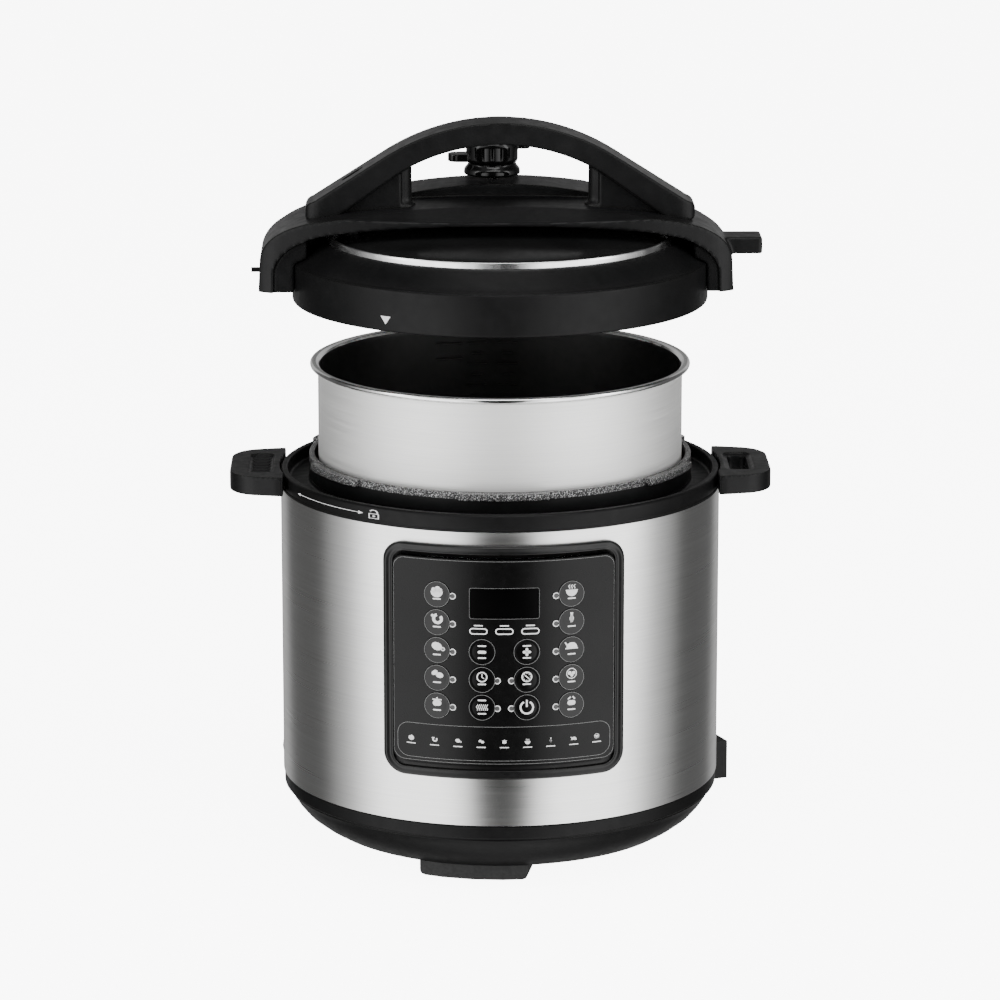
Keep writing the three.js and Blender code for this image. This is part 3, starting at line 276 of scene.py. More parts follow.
class Maker:
    """A node material on the Principled shader, with short names for the nodes it uses."""

    def __init__(self, name, colour, roughness, metallic=0.0, **fixed):
        self.material = bpy.data.materials.new(name)
        self.material.use_nodes = True
        self.tree = self.material.node_tree
        self.shader = self.tree.nodes["Principled BSDF"]
        self.set(self.shader, "Base Color", (*colour, 1))
        self.set(self.shader, "Roughness", roughness)
        self.set(self.shader, "Metallic", metallic)
        for key, value in fixed.items():
            self.set(self.shader, key.replace("_", " "), value)

    @staticmethod
    def set(node, socket, value):
        node.inputs[socket].default_value = value

    def node(self, kind, **settings):
        made = self.tree.nodes.new(kind)
        for key, value in settings.items():
            setattr(made, key, value)
        return made

    def link(self, source, target):
        self.tree.links.new(source, target)

    def place(self, stretch=(1, 1, 1)):
        coordinates = self.node("ShaderNodeTexCoord")
        mapping = self.node("ShaderNodeMapping")
        self.set(mapping, "Scale", stretch)
        self.link(coordinates.outputs["Object"], mapping.inputs["Vector"])
        return mapping.outputs["Vector"]

    def noise(self, scale, detail=3.0, place=None, roughness=0.5):
        made = self.node("ShaderNodeTexNoise")
        self.set(made, "Scale", scale)
        self.set(made, "Detail", detail)
        self.set(made, "Roughness", roughness)
        self.link(place or self.place(), made.inputs["Vector"])
        return made.outputs["Fac"]

    def spread(self, source, low_value, high_value, start=0.3, end=0.7):
        made = self.node("ShaderNodeMapRange")
        for socket, value in (("From Min", start), ("From Max", end), ("To Min", low_value),
                              ("To Max", high_value)):
            self.set(made, socket, value)
        self.link(source, made.inputs["Value"])
        return made.outputs["Result"]

    def ramp(self, source, *stops):
        made = self.node("ShaderNodeValToRGB")
        elements = made.color_ramp.elements
        while len(elements) < len(stops):
            elements.new(0.5)
        for element, (position, colour) in zip(elements, stops):
            element.position = position
            element.color = (*colour, 1)
        self.link(source, made.inputs["Fac"])
        return made.outputs["Color"]

    def colour(self, source, *stops):
        self.link(self.ramp(source, *stops), self.shader.inputs["Base Color"])
        return self

    def roughen(self, source, low_value, high_value, start=0.3, end=0.7):
        self.link(self.spread(source, low_value, high_value, start, end), self.shader.inputs["Roughness"])
        return self

    def bump(self, source, distance_mm, strength=1.0):
        made = self.node("ShaderNodeBump")
        self.set(made, "Strength", strength)
        self.set(made, "Distance", distance_mm * MM)
        self.link(source, made.inputs["Height"])
        if self.shader.inputs["Normal"].is_linked:
            self.link(self.shader.inputs["Normal"].links[0].from_socket, made.inputs["Normal"])
        self.link(made.outputs["Normal"], self.shader.inputs["Normal"])
        return self


def grey(value, tint=1.0):
    return (value, value, value * tint)


def toned(make, noise, tones, roughness=None, bumps=(), at=(0.3, 0.7)):
    """Two tones, a spread of roughness (scale, detail, low, high) and bumps (scale, detail, mm, strength)."""
    make.colour(make.noise(*noise), *zip(at, tones))
    if roughness:
        make.roughen(make.noise(*roughness[:2]), *roughness[2:])
    for scale, detail, depth, strength in bumps:
        make.bump(make.noise(scale, detail), depth, strength)
    return make.material


def matte_plastic(name, value=0.004, roughness=0.42, grain=0.022):
    """Black moulding with a fine spark-eroded grain and slight wear in its gloss."""
    make = Maker(name, grey(value, 1.03), roughness, IOR=1.4, Specular_IOR_Level=0.2)
    return toned(make, (28, 4), (grey(value * 0.82, 1.03), grey(value * 1.2, 1.02)),
                 (160, 5, roughness - 0.05, roughness + 0.07), ((1900, 2, grain, 1),
                                                                (420, 2, grain * 0.8, 0.5)),
                 (0.35, 0.65))


def gloss_plastic(name, value=0.004, roughness=0.09, specular=0.35):
    make = Maker(name, grey(value), roughness, IOR=1.45, Specular_IOR_Level=specular)
    return toned(make, (35, 3), (grey(value * 0.8), grey(value * 1.25)),
                 (240, 4, roughness - 0.03, roughness + 0.05), ((70, 2, 0.02, 0.4),))


def brushed_steel(name, value=0.8, roughness=0.3, anisotropic=0.8):
    """Stainless steel with fine level hairlines, so that its reflections run up and down."""
    make = Maker(name, grey(value, 0.985), roughness, 1.0, Anisotropic=anisotropic,
                 Anisotropic_Rotation=0.25)
    tangent = make.node("ShaderNodeTangent", direction_type="RADIAL", axis="Z")
    make.link(tangent.outputs[0], make.shader.inputs["Tangent"])
    lines = make.noise(1.0, 5, make.place((14, 14, 2600)), 0.7)
    make.colour(lines, (0.3, grey(value * 0.9, 0.985)), (0.7, grey(min(0.98, value * 1.06), 0.985)))
    make.roughen(make.noise(1.0, 3, make.place((9, 9, 900))), roughness - 0.03, roughness + 0.05)
    make.bump(lines, 0.004, 0.4)
    return make.material


def plain_metal(name, value, roughness, scale=300.0, depth=0.01, tint=0.99):
    make = Maker(name, grey(value, tint), roughness, 1.0)
    grain = make.noise(scale, 5)
    make.colour(grain, (0.3, grey(value * 0.88, tint)), (0.7, grey(min(1, value * 1.08), tint)))
    make.roughen(make.noise(scale * 0.4, 4), max(0.02, roughness - 0.05), roughness + 0.06)
    make.bump(grain, depth)
    return make.material


def speckled_enamel():
    """Black crackle finish broken up by pale flecks."""
    make = Maker("speckled_enamel", grey(0.02), 0.35, 0.35)
    cells = make.node("ShaderNodeTexVoronoi", feature="F1")
    make.set(cells, "Scale", 1300)
    make.link(make.place(), cells.inputs["Vector"])
    flecks = make.noise(1250, 3, None, 0.7)
    make.colour(flecks, (0.47, grey(0.008)), (0.54, grey(0.06)), (0.62, grey(0.5)))
    make.roughen(flecks, 0.5, 0.25)
    make.bump(flecks, 0.25).bump(cells.outputs["Distance"], 0.12, 0.6)
    return make.material


def non_stick():
    make = Maker("non_stick", grey(0.008), 0.36, IOR=1.4)
    return toned(make, (60, 5), (grey(0.006), grey(0.011)), (900, 3, 0.3, 0.42), ((1500, 3, 0.02, 1),))


def rubber(name, value, roughness):
    return toned(Maker(name, grey(value), roughness), (90, 4), (grey(value * 0.85), grey(value * 1.15)),
                 (500, 3, roughness - 0.06, roughness + 0.06), ((1200, 2, 0.02, 1),))


def silicone():
    make = Maker("silicone", (0.62, 0.64, 0.65), 0.42, Subsurface_Weight=0.15)
    return toned(make, (50, 3), ((0.56, 0.58, 0.59), (0.68, 0.7, 0.71)), None, ((700, 2, 0.02, 1),))


def circuit_board():
    make = Maker("circuit_board", (0.02, 0.12, 0.05), 0.4)
    traces = make.node("ShaderNodeTexBrick")
    make.set(traces, "Scale", 180)
    make.link(make.place(), traces.inputs["Vector"])
    for socket, colour in (("Color1", (0.02, 0.13, 0.05, 1)), ("Color2", (0.025, 0.16, 0.06, 1)),
                           ("Mortar", (0.05, 0.24, 0.1, 1))):
        make.set(traces, socket, colour)
    make.link(traces.outputs["Color"], make.shader.inputs["Base Color"])
    make.bump(traces.outputs["Fac"], 0.05)
    return make.material


def ink(name, value):
    return toned(Maker(name, grey(value), 0.5), (900, 3), (grey(value * 0.9), grey(value)),
                 (1400, 2, 0.42, 0.58))


def lens():
    make = Maker("display_lens", grey(0.001), 0.25, IOR=1.4, Specular_IOR_Level=0.08)
    return toned(make, (40, 2), (grey(0.0008), grey(0.0014)), None, ((60, 2, 0.01, 0.3),))


MATTE = matte_plastic("matte_black")
HANDLE_BLACK = matte_plastic("handle_black", 0.007, 0.36, 0.016)
GLOSS = gloss_plastic("gloss_black")
DOME_GLOSS = gloss_plastic("dome_black", 0.008, 0.2)
OVERLAY_GLOSS = gloss_plastic("overlay_black", 0.004, 0.24, 0.2)
BEZEL_BLACK = gloss_plastic("bezel_black", 0.006, 0.3)
STEEL = brushed_steel("brushed_steel")
POT_STEEL = brushed_steel("satin_pot", 0.98, 0.6, 0.1)
POLISHED = plain_metal("polished_rim", 0.86, 0.14, 300, 0.004)
PLAIN_STEEL = plain_metal("plain_steel", 0.6, 0.3)
ALUMINIUM = plain_metal("satin_aluminium", 0.7, 0.35)
CAST = plain_metal("cast_aluminium", 0.42, 0.5, 260, 0.05)
CHROME = plain_metal("chrome", 0.95, 0.22, 200, 0.002, 1.0)
SPECKLED = speckled_enamel()
NON_STICK = non_stick()
SILICONE = silicone()
FOOT_RUBBER = rubber("foot_rubber", 0.005, 0.75)
BOARD = circuit_board()
WHITE_INK = ink("white_ink", 0.85)
GREY_INK = ink("grey_ink", 0.2)
LAMP_INK = ink("lamp_lens", 0.06)
LENS = lens()

BY_SLOT = {"matte_black": MATTE, "gloss_black": GLOSS, "brushed_steel": STEEL, "plain_steel": PLAIN_STEEL,
           "speckled_enamel": SPECKLED, "satin_aluminium": ALUMINIUM, "cast_aluminium": CAST,
           "chrome": CHROME, "silicone": SILICONE, "foot_rubber": FOOT_RUBBER, "circuit_board": BOARD}


def dress_nodes():
    """Every CAD node that stays gets its slot's material, smooth shading and fine rounded edges."""
    for entry in frame["record"]["subparts"]:
        node = frame["nodes"][entry["node"]]
        node.data.materials.clear()
        node.data.materials.append(BY_SLOT[entry["material_slot"]])
        for polygon in node.data.polygons:
            polygon.use_smooth = True
            polygon.material_index = 0
        node.data.set_sharp_from_angle(angle=math.radians(32))
        bevel = node.modifiers.new("edges", "BEVEL")
        bevel.width = 0.35 * MM
        bevel.segments = 2
        bevel.limit_method = "ANGLE"
        bevel.angle_limit = math.radians(50)


# ---- base ----

INLET_ANGLE = 112


def inlet_block(grow):
    """The space of the mains inlet, in mm, grown all round."""
    top = high("mains_inlet") + grow
    bottom = low("mains_inlet") - grow
    half = 19 + grow
    outline = [(-half, -SHELL_RADIUS - 60), (half, -SHELL_RADIUS - 60), (half, -SHELL_RADIUS + 16 + grow),
               (-half, -SHELL_RADIUS + 16 + grow)]
    return turn_about(prism(outline, bottom, top, "xy"), INLET_ANGLE)


def shell():
    body = turned([(SHELL_RADIUS - 0.8, HOUSING_TOP), (SHELL_RADIUS, HOUSING_TOP),
                   (SHELL_RADIUS, SHELL_TOP), (SHELL_RADIUS - 0.8, SHELL_TOP)], segments=256, soft=0.2)
    window = prism(rounded(PANEL_WIDTH - 5, PANEL_HEIGHT - 5, 10.5, 0, PANEL_MIDDLE), -200, 0, "xz")
    body = combined(combined(body, window), inlet_block(0.4))
    finished("shell_skin", body, STEEL, "base", ["outer_shell"])


def housing():
    r, top = SHELL_RADIUS - 0.7, HOUSING_TOP
    band = top - 9
    low_z = low("bottom_housing")
    body = turned([
        (r - 26, low_z), (r - 19, low_z + 4.2), (r - 12, low_z + 9.6), (r - 7.4, low_z + 15),
        (r - 4.4, low_z + 19.6), (r - 2.6, band - 2.2), (r - 2.0, band - 1.6), (r - 2.4, band - 1.0),
        (r - 2.4, band - 0.3), (r - 0.5, band + 0.1), (r, band + 0.8), (r, top - 1.1), (r - 0.7, top - 0.3),
        (r - 3, top - 0.3), (r - 3, band), (r - 16, low_z + 12), (r - 29, low_z + 4.4),
        (r - 46, low_z + 4.4),
        (r - 46, low_z + 2), (r - 34, low_z + 2), (r - 34, low_z)], segments=256, soft=0.5)
    body = combined(body, inlet_block(0.4))
    finished("housing_skin", body, MATTE, "base", ["bottom_housing"])


def collar_ring():
    r = SHELL_RADIUS + 0.3
    ledge = RING_LOW - 0.3
    body = turned([
        (r - 1.6, SHELL_TOP), (r, SHELL_TOP + 0.2), (r, SHELL_TOP + 1.4), (r - 0.35, SHELL_TOP + 1.9),
        (r - 0.1, SHELL_TOP + 2.5), (r, COLLAR_TOP - 2.2), (r - 0.5, COLLAR_TOP - 0.9),
        (r - 1.6, COLLAR_TOP),
        (CHANNEL_RADIUS + 0.5, COLLAR_TOP), (CHANNEL_RADIUS, COLLAR_TOP - 0.8),
        (CHANNEL_RADIUS - 0.6, ledge - 1),
        (CHANNEL_RADIUS - 1.6, ledge - 2), (121.2, ledge - 2), (120.4, ledge - 1.2), (120.2, ledge),
        (RING_BORE + 1.9, ledge), (RING_BORE + 1.9, ledge - 5), (r - 4, ledge - 5), (r - 4, SHELL_TOP)],
        segments=256, soft=0.5)
    finished("collar_skin", body, MATTE, "base", ["collar"])


def base_handle(side, name, node):
    """A lug that grows out of the collar, with a dished rib field on the left and a slot on the right."""
    edge = SHELL_RADIUS + 0.55
    tip = high("right_handle", 0)
    half = high("right_handle", 1)
    bottom, top = low(node), high(node)
    plan = [(edge - 3, -half), (edge + 2, -half + 0.6), (tip - 18, 3 - half)]
    plan += curve((tip - 18, 3 - half), (tip - 6, 5 - half), (tip, 16 - half), (tip, 26 - half), steps=12)
    middle = (tip + edge) / 2 - 4
    body = prism(both_sides(plan), bottom, top, "xy")
    inside = turned([(0, bottom - 5), (edge, bottom - 5), (edge, top + 5), (0, top + 5)], soft=0)
    body = combined(body, inside)
    if side > 0:
        slot = prism(rounded(11.4, 40, 3, middle, 0), bottom - 9, top + 9, "xy")
        well = prism(rounded(17, 47, 5, middle, 0), top - 1.4, top + 9, "xy")
        body = combined(combined(body, slot), well)
    else:
        body = combined(body, prism(rounded(15, 52, 5, middle, 0), top - 1.6, top + 9, "xy"))
        for k in range(-5, 6):
            rib = rounded(11, 2.0, 0.9, middle, k * 4.4, 3)
            body = prism(rib, top - 3, top - 0.5, "xy", body)
    body = moulded(body, 0.7, 5)
    if side < 0:
        turn_about(body, 180)
    finished(name, body, HANDLE_BLACK, "base", [node])


def add_lugs(body, outer, inner, first, half, steps, bottom, top, soft):
    """Six lugs of 2 * half degrees with softened edges join a turned body; the first is at that angle."""
    for middle in range(first, first + 360, 60):
        outline = arc(0, 0, outer, middle - half, middle + half, steps)
        lug = prism(outline + arc(0, 0, inner, middle + half, middle - half, steps), bottom, top, "xy")
        edges = [edge for edge in lug.edges if edge.calc_face_angle(0) > 0.8]
        bmesh.ops.bevel(lug, geom=edges, offset=soft * MM, segments=3, affect="EDGES", profile=0.5)
        mesh = bpy.data.meshes.new("lug")
        lug.to_mesh(mesh)
        lug.free()
        body.from_mesh(mesh)
        bpy.data.meshes.remove(mesh)


def locking_ring():
    bore, lug = RING_BORE, RING_LUG
    body = turned([(bore, RING_LOW), (bore + 3.6, RING_LOW), (bore + 3.6, RING_TOP - 4.2),
                   (bore + 3.6, RING_TOP - 0.8), (bore + 2.9, RING_TOP), (bore + 0.7, RING_TOP),
                   (bore, RING_TOP - 0.8)], segments=256, soft=0.5)
    add_lugs(body, lug, bore + 1, -90, 13, 18, RING_TOP - 4.2, RING_TOP, 0.6)
    skin = finished("ring_skin", body, [SPECKLED, MATTE], "base", ["locking_ring"])
    # Painted shade: the wall below the flange gets plain matte black instead of the speckled finish, standing
    # in for the shadow under the flange. The bore face gets the same matte black.
    for polygon in skin.data.polygons:
        if polygon.center.z / MM < RING_TOP - 6 or math.hypot(*polygon.center.xy) / MM < bore + 0.3:
            polygon.material_index = 1


def liner():
    wall = RING_BORE + 0.5
    floor = low("liner_bucket")
    body = turned([(60, floor), (wall - 4, floor), (wall + 1, floor + 5), (wall + 1, RING_LOW - 0.4),
                   (wall, RING_LOW - 0.4), (wall, floor + 6), (wall - 4.6, floor + 1), (60, floor + 1)],
                  segments=160, soft=0.8)
    finished("liner_skin", body, PLAIN_STEEL, "base", ["liner_bucket"])


def heater():
    """Cast plate with two low ridges where the element is cast in."""
    top, bottom = high("heating_plate"), low("heating_plate")
    edge = high("heating_plate", 0)
    profile = [(17, bottom), (edge - 6, bottom), (edge - 6, bottom + 5), (edge, bottom + 7),
               (edge, top - 1)]
    for ridge in (80, 48):
        profile += [(ridge + 9, top - 0.6), (ridge + 6, top), (ridge - 6, top), (ridge - 9, top - 0.6)]
    finished("heater_skin", turned(profile + [(17, top - 0.6)], segments=128, soft=0.8), CAST, "base",
             ["heating_plate"])


def collector():
    """Open cup that hangs behind the shell."""
    side, bottom = high("condensation_collector", 0), low("condensation_collector")
    top = high("condensation_collector")
    inner, outer = SHELL_RADIUS + 0.6, high("condensation_collector", 1)
    ring = turned([(inner, bottom), (outer, bottom), (outer, top), (inner, top)], segments=256, soft=0.3)
    outline = rounded(2 * side, 2 * (top - bottom), 9, 0, top)
    cup = combined(ring, prism(outline, 0, 200, "xz"), "INTERSECT")
    hollow = turned([(inner + 1.2, bottom + 1.2), (outer - 1.2, bottom + 1.2), (outer - 1.2, top + 20),
                     (inner + 1.2, top + 20)], segments=256, soft=0.3)
    space = combined(hollow, prism(rounded(2 * side - 2.4, 2 * (top - bottom) - 2.4, 8, 0, top), 0, 200,
                                   "xz"),
                     "INTERSECT")
    body = combined(cup, space)
    finished("collector_skin", body, MATTE, "collector", ["condensation_collector"])


# ---- control panel ----

def on_cylinder(radius):
    return lambda u, v: (u * MM, -math.sqrt(radius * radius - u * u) * MM, v * MM)


def panel_loop(bm, inset, radius, corner=13.0):
    """One closed loop round the bezel, on the cylinder of that radius."""
    width, height = PANEL_WIDTH - 2 * inset, PANEL_HEIGHT - 2 * inset
    turn = max(corner - inset, 3.0)
    place = on_cylinder(radius)
    points = []
    right, top = width / 2 - turn, height / 2 - turn
    corners = ((right, top, 0), (-right, top, 90), (-right, -top, 180), (right, -top, 270))
    for k, (cx, cy, start) in enumerate(corners):
        points += arc(cx, cy, turn, start, start + 90, 10)
        next_x, next_y = corners[(k + 1) % 4][0], corners[(k + 1) % 4][1]
        last = points[-1]
        end = (next_x + turn * math.cos(math.radians(start + 90)),
               next_y + turn * math.sin(math.radians(start + 90)))
        points += [tuple(Vector(last).lerp(Vector(end), step / 24)) for step in range(1, 24)]
    return [bm.verts.new(place(u, v + PANEL_MIDDLE)) for u, v in points]


def loops_joined(bm, loops):
    for one, two in zip(loops, loops[1:] + loops[:1]):
        for k in range(len(one)):
            n = (k + 1) % len(one)
            bm.faces.new((one[k], one[n], two[n], two[k]))
    bmesh.ops.recalc_face_normals(bm, faces=bm.faces)


def bezel():
    """Glossy frame: a rolled outer edge, a dished band and a thin bright step round the overlay."""
    outer, border = -low("panel_bezel", 1), 5.5
    section = [(0, SHELL_RADIUS + 0.3), (0, outer - 1.6), (0.35, outer - 0.6), (1.1, outer),
               (1.9, outer - 0.2), (3.0, outer - 0.9), (3.9, outer - 1.2), (4.5, outer - 1.15),
               (4.7, outer - 0.85), (5.2, outer - 0.85), (border, outer - 1.15), (border, outer - 4.5),
               (border + 3, outer - 5.8), (border + 3, SHELL_RADIUS - 5), (2.8, SHELL_RADIUS - 5),
               (2.8, SHELL_RADIUS + 0.3)]
    bm = bmesh.new()
    loops_joined(bm, [panel_loop(bm, inset, radius) for inset, radius in section])
    finished("bezel_skin", bm, BEZEL_BLACK, "base", ["panel_bezel"], 50)


def curved_slab(width, height, corner, back, front, middle, columns=96):
    """A plate bent round the shell's axis, its outline a rounded rectangle seen from the front."""
    bm = bmesh.new()
    half = width / 2
    strips = []
    for k in range(columns + 1):
        u = -half * math.cos(math.pi * k / columns)
        over = max(0.0, abs(u) - (half - corner))
        drop = corner - math.sqrt(max(0.0, corner * corner - over * over))
        ends = (middle + height / 2 - drop, middle - height / 2 + drop)
        strips.append([bm.verts.new(on_cylinder(radius)(u, v)) for radius in (front, back) for v in ends])
    for (a, b, c, d), (e, f, g, h) in zip(strips, strips[1:]):
        for corners in ((a, b, f, e), (c, g, h, d), (a, e, g, c), (b, d, h, f)):
            bm.faces.new(corners)
    for a, b, c, d in (strips[0], strips[-1]):
        bm.faces.new((a, c, d, b))
    bmesh.ops.recalc_face_normals(bm, faces=bm.faces)
    return bm


def button_place(node):
    """Matrix that stands a button's own Z axis outwards at the node's place, and its angle from the front."""
    lowest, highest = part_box(node)
    middle = (lowest + highest) / 2
    column = round(math.atan2(middle.x, -middle.y) / math.radians(5.6))
    angle = math.copysign(math.asin(abs({-3: -1.5, -1: -0.5, 1: 0.5, 3: 1.5}[column]) * OVERLAY_WIDTH / 5
                                    / OVERLAY_FACE), column)
    stand = Matrix.Rotation(angle, 4, "Z") @ Matrix.Rotation(math.pi / 2, 4, "X")
    out = Vector((math.sin(angle), -math.cos(angle), 0)) * (OVERLAY_FACE - OVERLAY_THICK) * MM
    return Matrix.Translation(out + Vector((0, 0, middle.z))) @ stand, angle


def overlay():
    back = OVERLAY_FACE - OVERLAY_THICK
    slab = curved_slab(OVERLAY_WIDTH, OVERLAY_HEIGHT, 7, back, OVERLAY_FACE, PANEL_MIDDLE)
    for node in BUTTON_NODES:
        hole = turned([(0, -30), (BUTTON_RADIUS + 0.25, -30), (BUTTON_RADIUS + 0.25, 30), (0, 30)],
                      segments=40, soft=0)
        hole.transform(button_place(node)[0])
        slab = combined(slab, hole)
    lens_low, lens_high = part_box("display_lens")
    middle = (lens_low.z + lens_high.z) / 2 / MM
    wide, tall = (lens_high.x - lens_low.x) / MM, (lens_high.z - lens_low.z) / MM
    slab = combined(slab, prism(rounded(wide + 0.5, tall + 0.5, 1.4, 0, middle), -200, 0, "xz"))
    finished("overlay_skin", slab, OVERLAY_GLOSS, "base", ["panel_overlay"], 25)
    glass = curved_slab(wide, tall, 1.2, back + 0.5, OVERLAY_FACE - 0.7, middle, 32)
    finished("lens_skin", glass, LENS, "base", ["display_lens"], 25)
    return middle, wide, tall


def button(node):
    name = node.replace("button_", "")
    face, r = OVERLAY_THICK, BUTTON_RADIUS
    dome = [(r * share, face + 0.3 + DOME * (1 - share ** 2)) for share in (0.86, 0.7, 0.5, 0.25)]
    body = turned([(0, -2.2), (r + 0.4, -2.2), (r + 0.4, -1.2), (r, -1.2), (r, face - 0.2),
                   (r - 0.25, face + 0.35), (r - 0.7, face + 0.45), *dome,
                   (0, face + 0.3 + DOME)], segments=64, soft=0.1)
    body.transform(button_place(node)[0])
    finished(f"key_{name}_skin", body, GLOSS, f"key_{name}", [node], 60)


def line(points, width, closed=False):
    """A flat stroke along points, as quads."""
    count = len(points)
    sides = []
    for k, here in enumerate(points):
        before = points[k - 1] if closed or k else here
        after = points[(k + 1) % count] if closed or k < count - 1 else here
        along = (Vector(after) - Vector(before)).normalized()
        across = Vector((-along.y, along.x)) * width / 2
        sides.append((Vector(here) - across, Vector(here) + across))
    pairs = list(zip(sides, sides[1:])) + ([(sides[-1], sides[0])] if closed else [])
    return [[tuple(a), tuple(b), tuple(d), tuple(c)] for (a, b), (c, d) in pairs]


def spot(x, y, radius, stretch=1.0, tilt=0.0):
    c, s = math.cos(math.radians(tilt)), math.sin(math.radians(tilt))
    return [[(x + c * px * stretch - s * py, y + s * px * stretch + c * py) for px,
             py in arc(0, 0, radius, 0, 345, 23)]]


def pill(x, y, width, height):
    return [rounded(width, height, height * 0.49, x, y, 4)]


def loop(x, y, radius, width, start=0, end=360):
    closed = end - start == 360
    steps = 32
    points = arc(x, y, radius, start, end, steps)
    return line(points[:-1] if closed else points, width, closed)


def waves(x, y, count, pitch, height, width):
    shapes = []
    for k in range(count):
        at = x + (k - (count - 1) / 2) * pitch
        points = [(at + 0.05 * math.sin(t * math.pi / 3),
                   y - height / 2 + height * t / 8) for t in range(9)]
        shapes += line(points, width)
    return shapes


# Generic pictograms on a unit disc, each a list of flat outlines.
ICONS = {
    "rice": [arc(0, 0.22, 0.42, 180, 360)] + spot(-0.2, 0.3,
                                                  0.17) + spot(0.05, 0.38, 0.19) + spot(0.24, 0.3, 0.14),
    "seafood": loop(0.05, 0.25, 0.27, 0.2, 100, 400) + spot(-0.3, 0.46, 0.1),
    "meat": spot(0, 0.27, 0.27, 1.35, -18) + loop(0.42, 0.1, 0.1, 0.07),
    "beans": spot(-0.16, 0.36, 0.16, 1.4, 35) + spot(0.18, 0.2, 0.19, 1.35, -10),
    "slow_cook": pill(0, 0.18, 0.6, 0.4) + pill(0, 0.42, 0.66, 0.08) + spot(0, 0.52, 0.06),
    "soup": [arc(0, 0.24, 0.4, 180, 360)] + pill(0, 0.26, 0.86, 0.07) + waves(0, 0.5, 3, 0.18, 0.28, 0.055),
    "yogurt": pill(0, 0.22, 0.3, 0.5) + pill(0, 0.52, 0.16, 0.14) + pill(0, 0.6, 0.22, 0.08),
    "poultry": [arc(0.02, 0.12, 0.38, 0, 180)] + line([(-0.3, 0.3), (-0.46, 0.52)],
                                                      0.1) + pill(0, 0.08, 0.9, 0.07),
    "vegetables": loop(0, 0.26, 0.34, 0.06) + spot(-0.13, 0.3,
                                                   0.13) + spot(0.14, 0.3, 0.12) + spot(0.02, 0.14, 0.11),
    "stew": pill(0, 0.16, 0.56, 0.34) + line([(-0.25, 0.4), (-0.05, 0.56)],
                                             0.09) + line([(0.25, 0.4), (0.08, 0.58)], 0.09),
    "minus": pill(0, 0.0, 0.56, 0.2),
    "plus": pill(0, 0.0, 0.56, 0.18) + [[(y, -x) for x, y in pill(0, 0.0, 0.56, 0.18)[0]]],
    "delay_timer": loop(0, 0.2, 0.32, 0.08) + line([(0, 0.42), (0, 0.18), (0.14, 0.1)], 0.06),
    "keep_warm": waves(0, 0.02, 6, 0.13, 0.42, 0.05),
    "pressure": loop(0, 0.2, 0.32, 0.08) + line([(-0.12, 0.3), (0.14, 0.08)], 0.07)
    + [mark for a in range(0, 360, 45) for mark in line([arc(0, 0.2, reach, a, a,
                                                             1)[0] for reach in (0.2, 0.27)], 0.05)],
    "power": loop(0, 0.0, 0.42, 0.12, 118, 422) + [rounded(0.12, 0.5, 0.05, 0, 0.28, 3)],
}
LABEL_BARS = {"minus": (0.42, -0.4), "plus": (0.42, -0.4), "keep_warm": (0.5, -0.42), "power": ()}


def printed(name, shapes, place, material, body):
    """Flat outlines laid on a surface by place(u, v), which takes mm and gives a point in metres."""
    bm = bmesh.new()
    for shape in shapes:
        verts = [bm.verts.new(place(u, v)) for u, v in shape]
        bm.faces.new(verts)
    return finished(name, bm, material, body)


def key_print(node):
    """The circle, pictogram and neutral caption bar on a button's face."""
    name = node.replace("button_", "")
    matrix, r = button_place(node)[0], BUTTON_RADIUS

    def place(u, v):
        share = min(1.0, math.hypot(u, v) / r)
        height = OVERLAY_THICK + (0.35 + DOME if share < 0.9 else 0.5)
        return matrix @ Vector((u * MM, v * MM, height * MM))

    size = r * 1.12
    shapes = [[(u * size, v * size) for u, v in shape] for shape in ICONS[name]]
    bars = LABEL_BARS.get(name, (-0.3,))
    shapes += [shape for bar in bars for shape in pill(0, bar * size, 0.56 * size, 0.1 * size)]
    printed(f"print_{name}", shapes, place, WHITE_INK, f"key_{name}")
    printed(f"circle_{name}", loop(0, 0, r * 0.97, 0.24), place, GREY_INK, f"key_{name}")


def panel_print(middle, wide, tall):
    """Lamps, outlines and the legend strip on the overlay."""
    place = on_cylinder(OVERLAY_FACE + 0.06)
    lamps, lines, glows = [], [], []
    for node in BUTTON_NODES:
        if node in ("button_minus", "button_plus"):
            continue
        _, angle = button_place(node)
        lowest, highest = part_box(node)
        z = (lowest.z + highest.z) / 2 / MM - 0.7
        x = OVERLAY_FACE * math.sin(angle)
        inward = -math.copysign(9.3, x)
        lamps += loop(x + inward, z, 1.75, 0.6)
        glows += spot(x + inward, z, 1.3)
    for offset in (-15.8, 0, 15.8):
        lamps += line(rounded(10.4, 3.3, 1.6, offset, middle - tall / 2 - 8.6, 6), 0.75, True)
        lamps += pill(offset, middle - tall / 2 - 5.0, 5.6, 0.8)
    printed("lamp_rings", lamps, place, WHITE_INK, "base")
    printed("lamp_lenses", glows, place, LAMP_INK, "base")
    lines += line(divided(rounded(wide + 1.6, tall + 1.6, 1.4, 0, middle, 4)), 0.16, True)
    edge = rounded(OVERLAY_WIDTH - 1.6, OVERLAY_HEIGHT - 1.6, 6.4, 0, PANEL_MIDDLE, 10)
    lines += line(divided(edge), 0.22, True)
    legend = PANEL_BOTTOM + 22.5
    lines += line(divided(rounded(130, 21.5, 7, 0, legend, 10)), 0.24, True)
    printed("panel_lines", lines, place, GREY_INK, "base")
    order = ("rice", "seafood", "meat", "beans", "slow_cook", "soup", "yogurt", "poultry", "vegetables")
    shapes = []
    for k, name in enumerate(order):
        x = (k - 4) * 14.2
        shapes += [[(x + u * 4.2, legend + 0.4 + v * 4.2) for u, v in shape] for shape in ICONS[name]]
        shapes += pill(x, legend - 2.2, 5.6, 0.65)
    printed("legend_icons", shapes, place, WHITE_INK, "base")


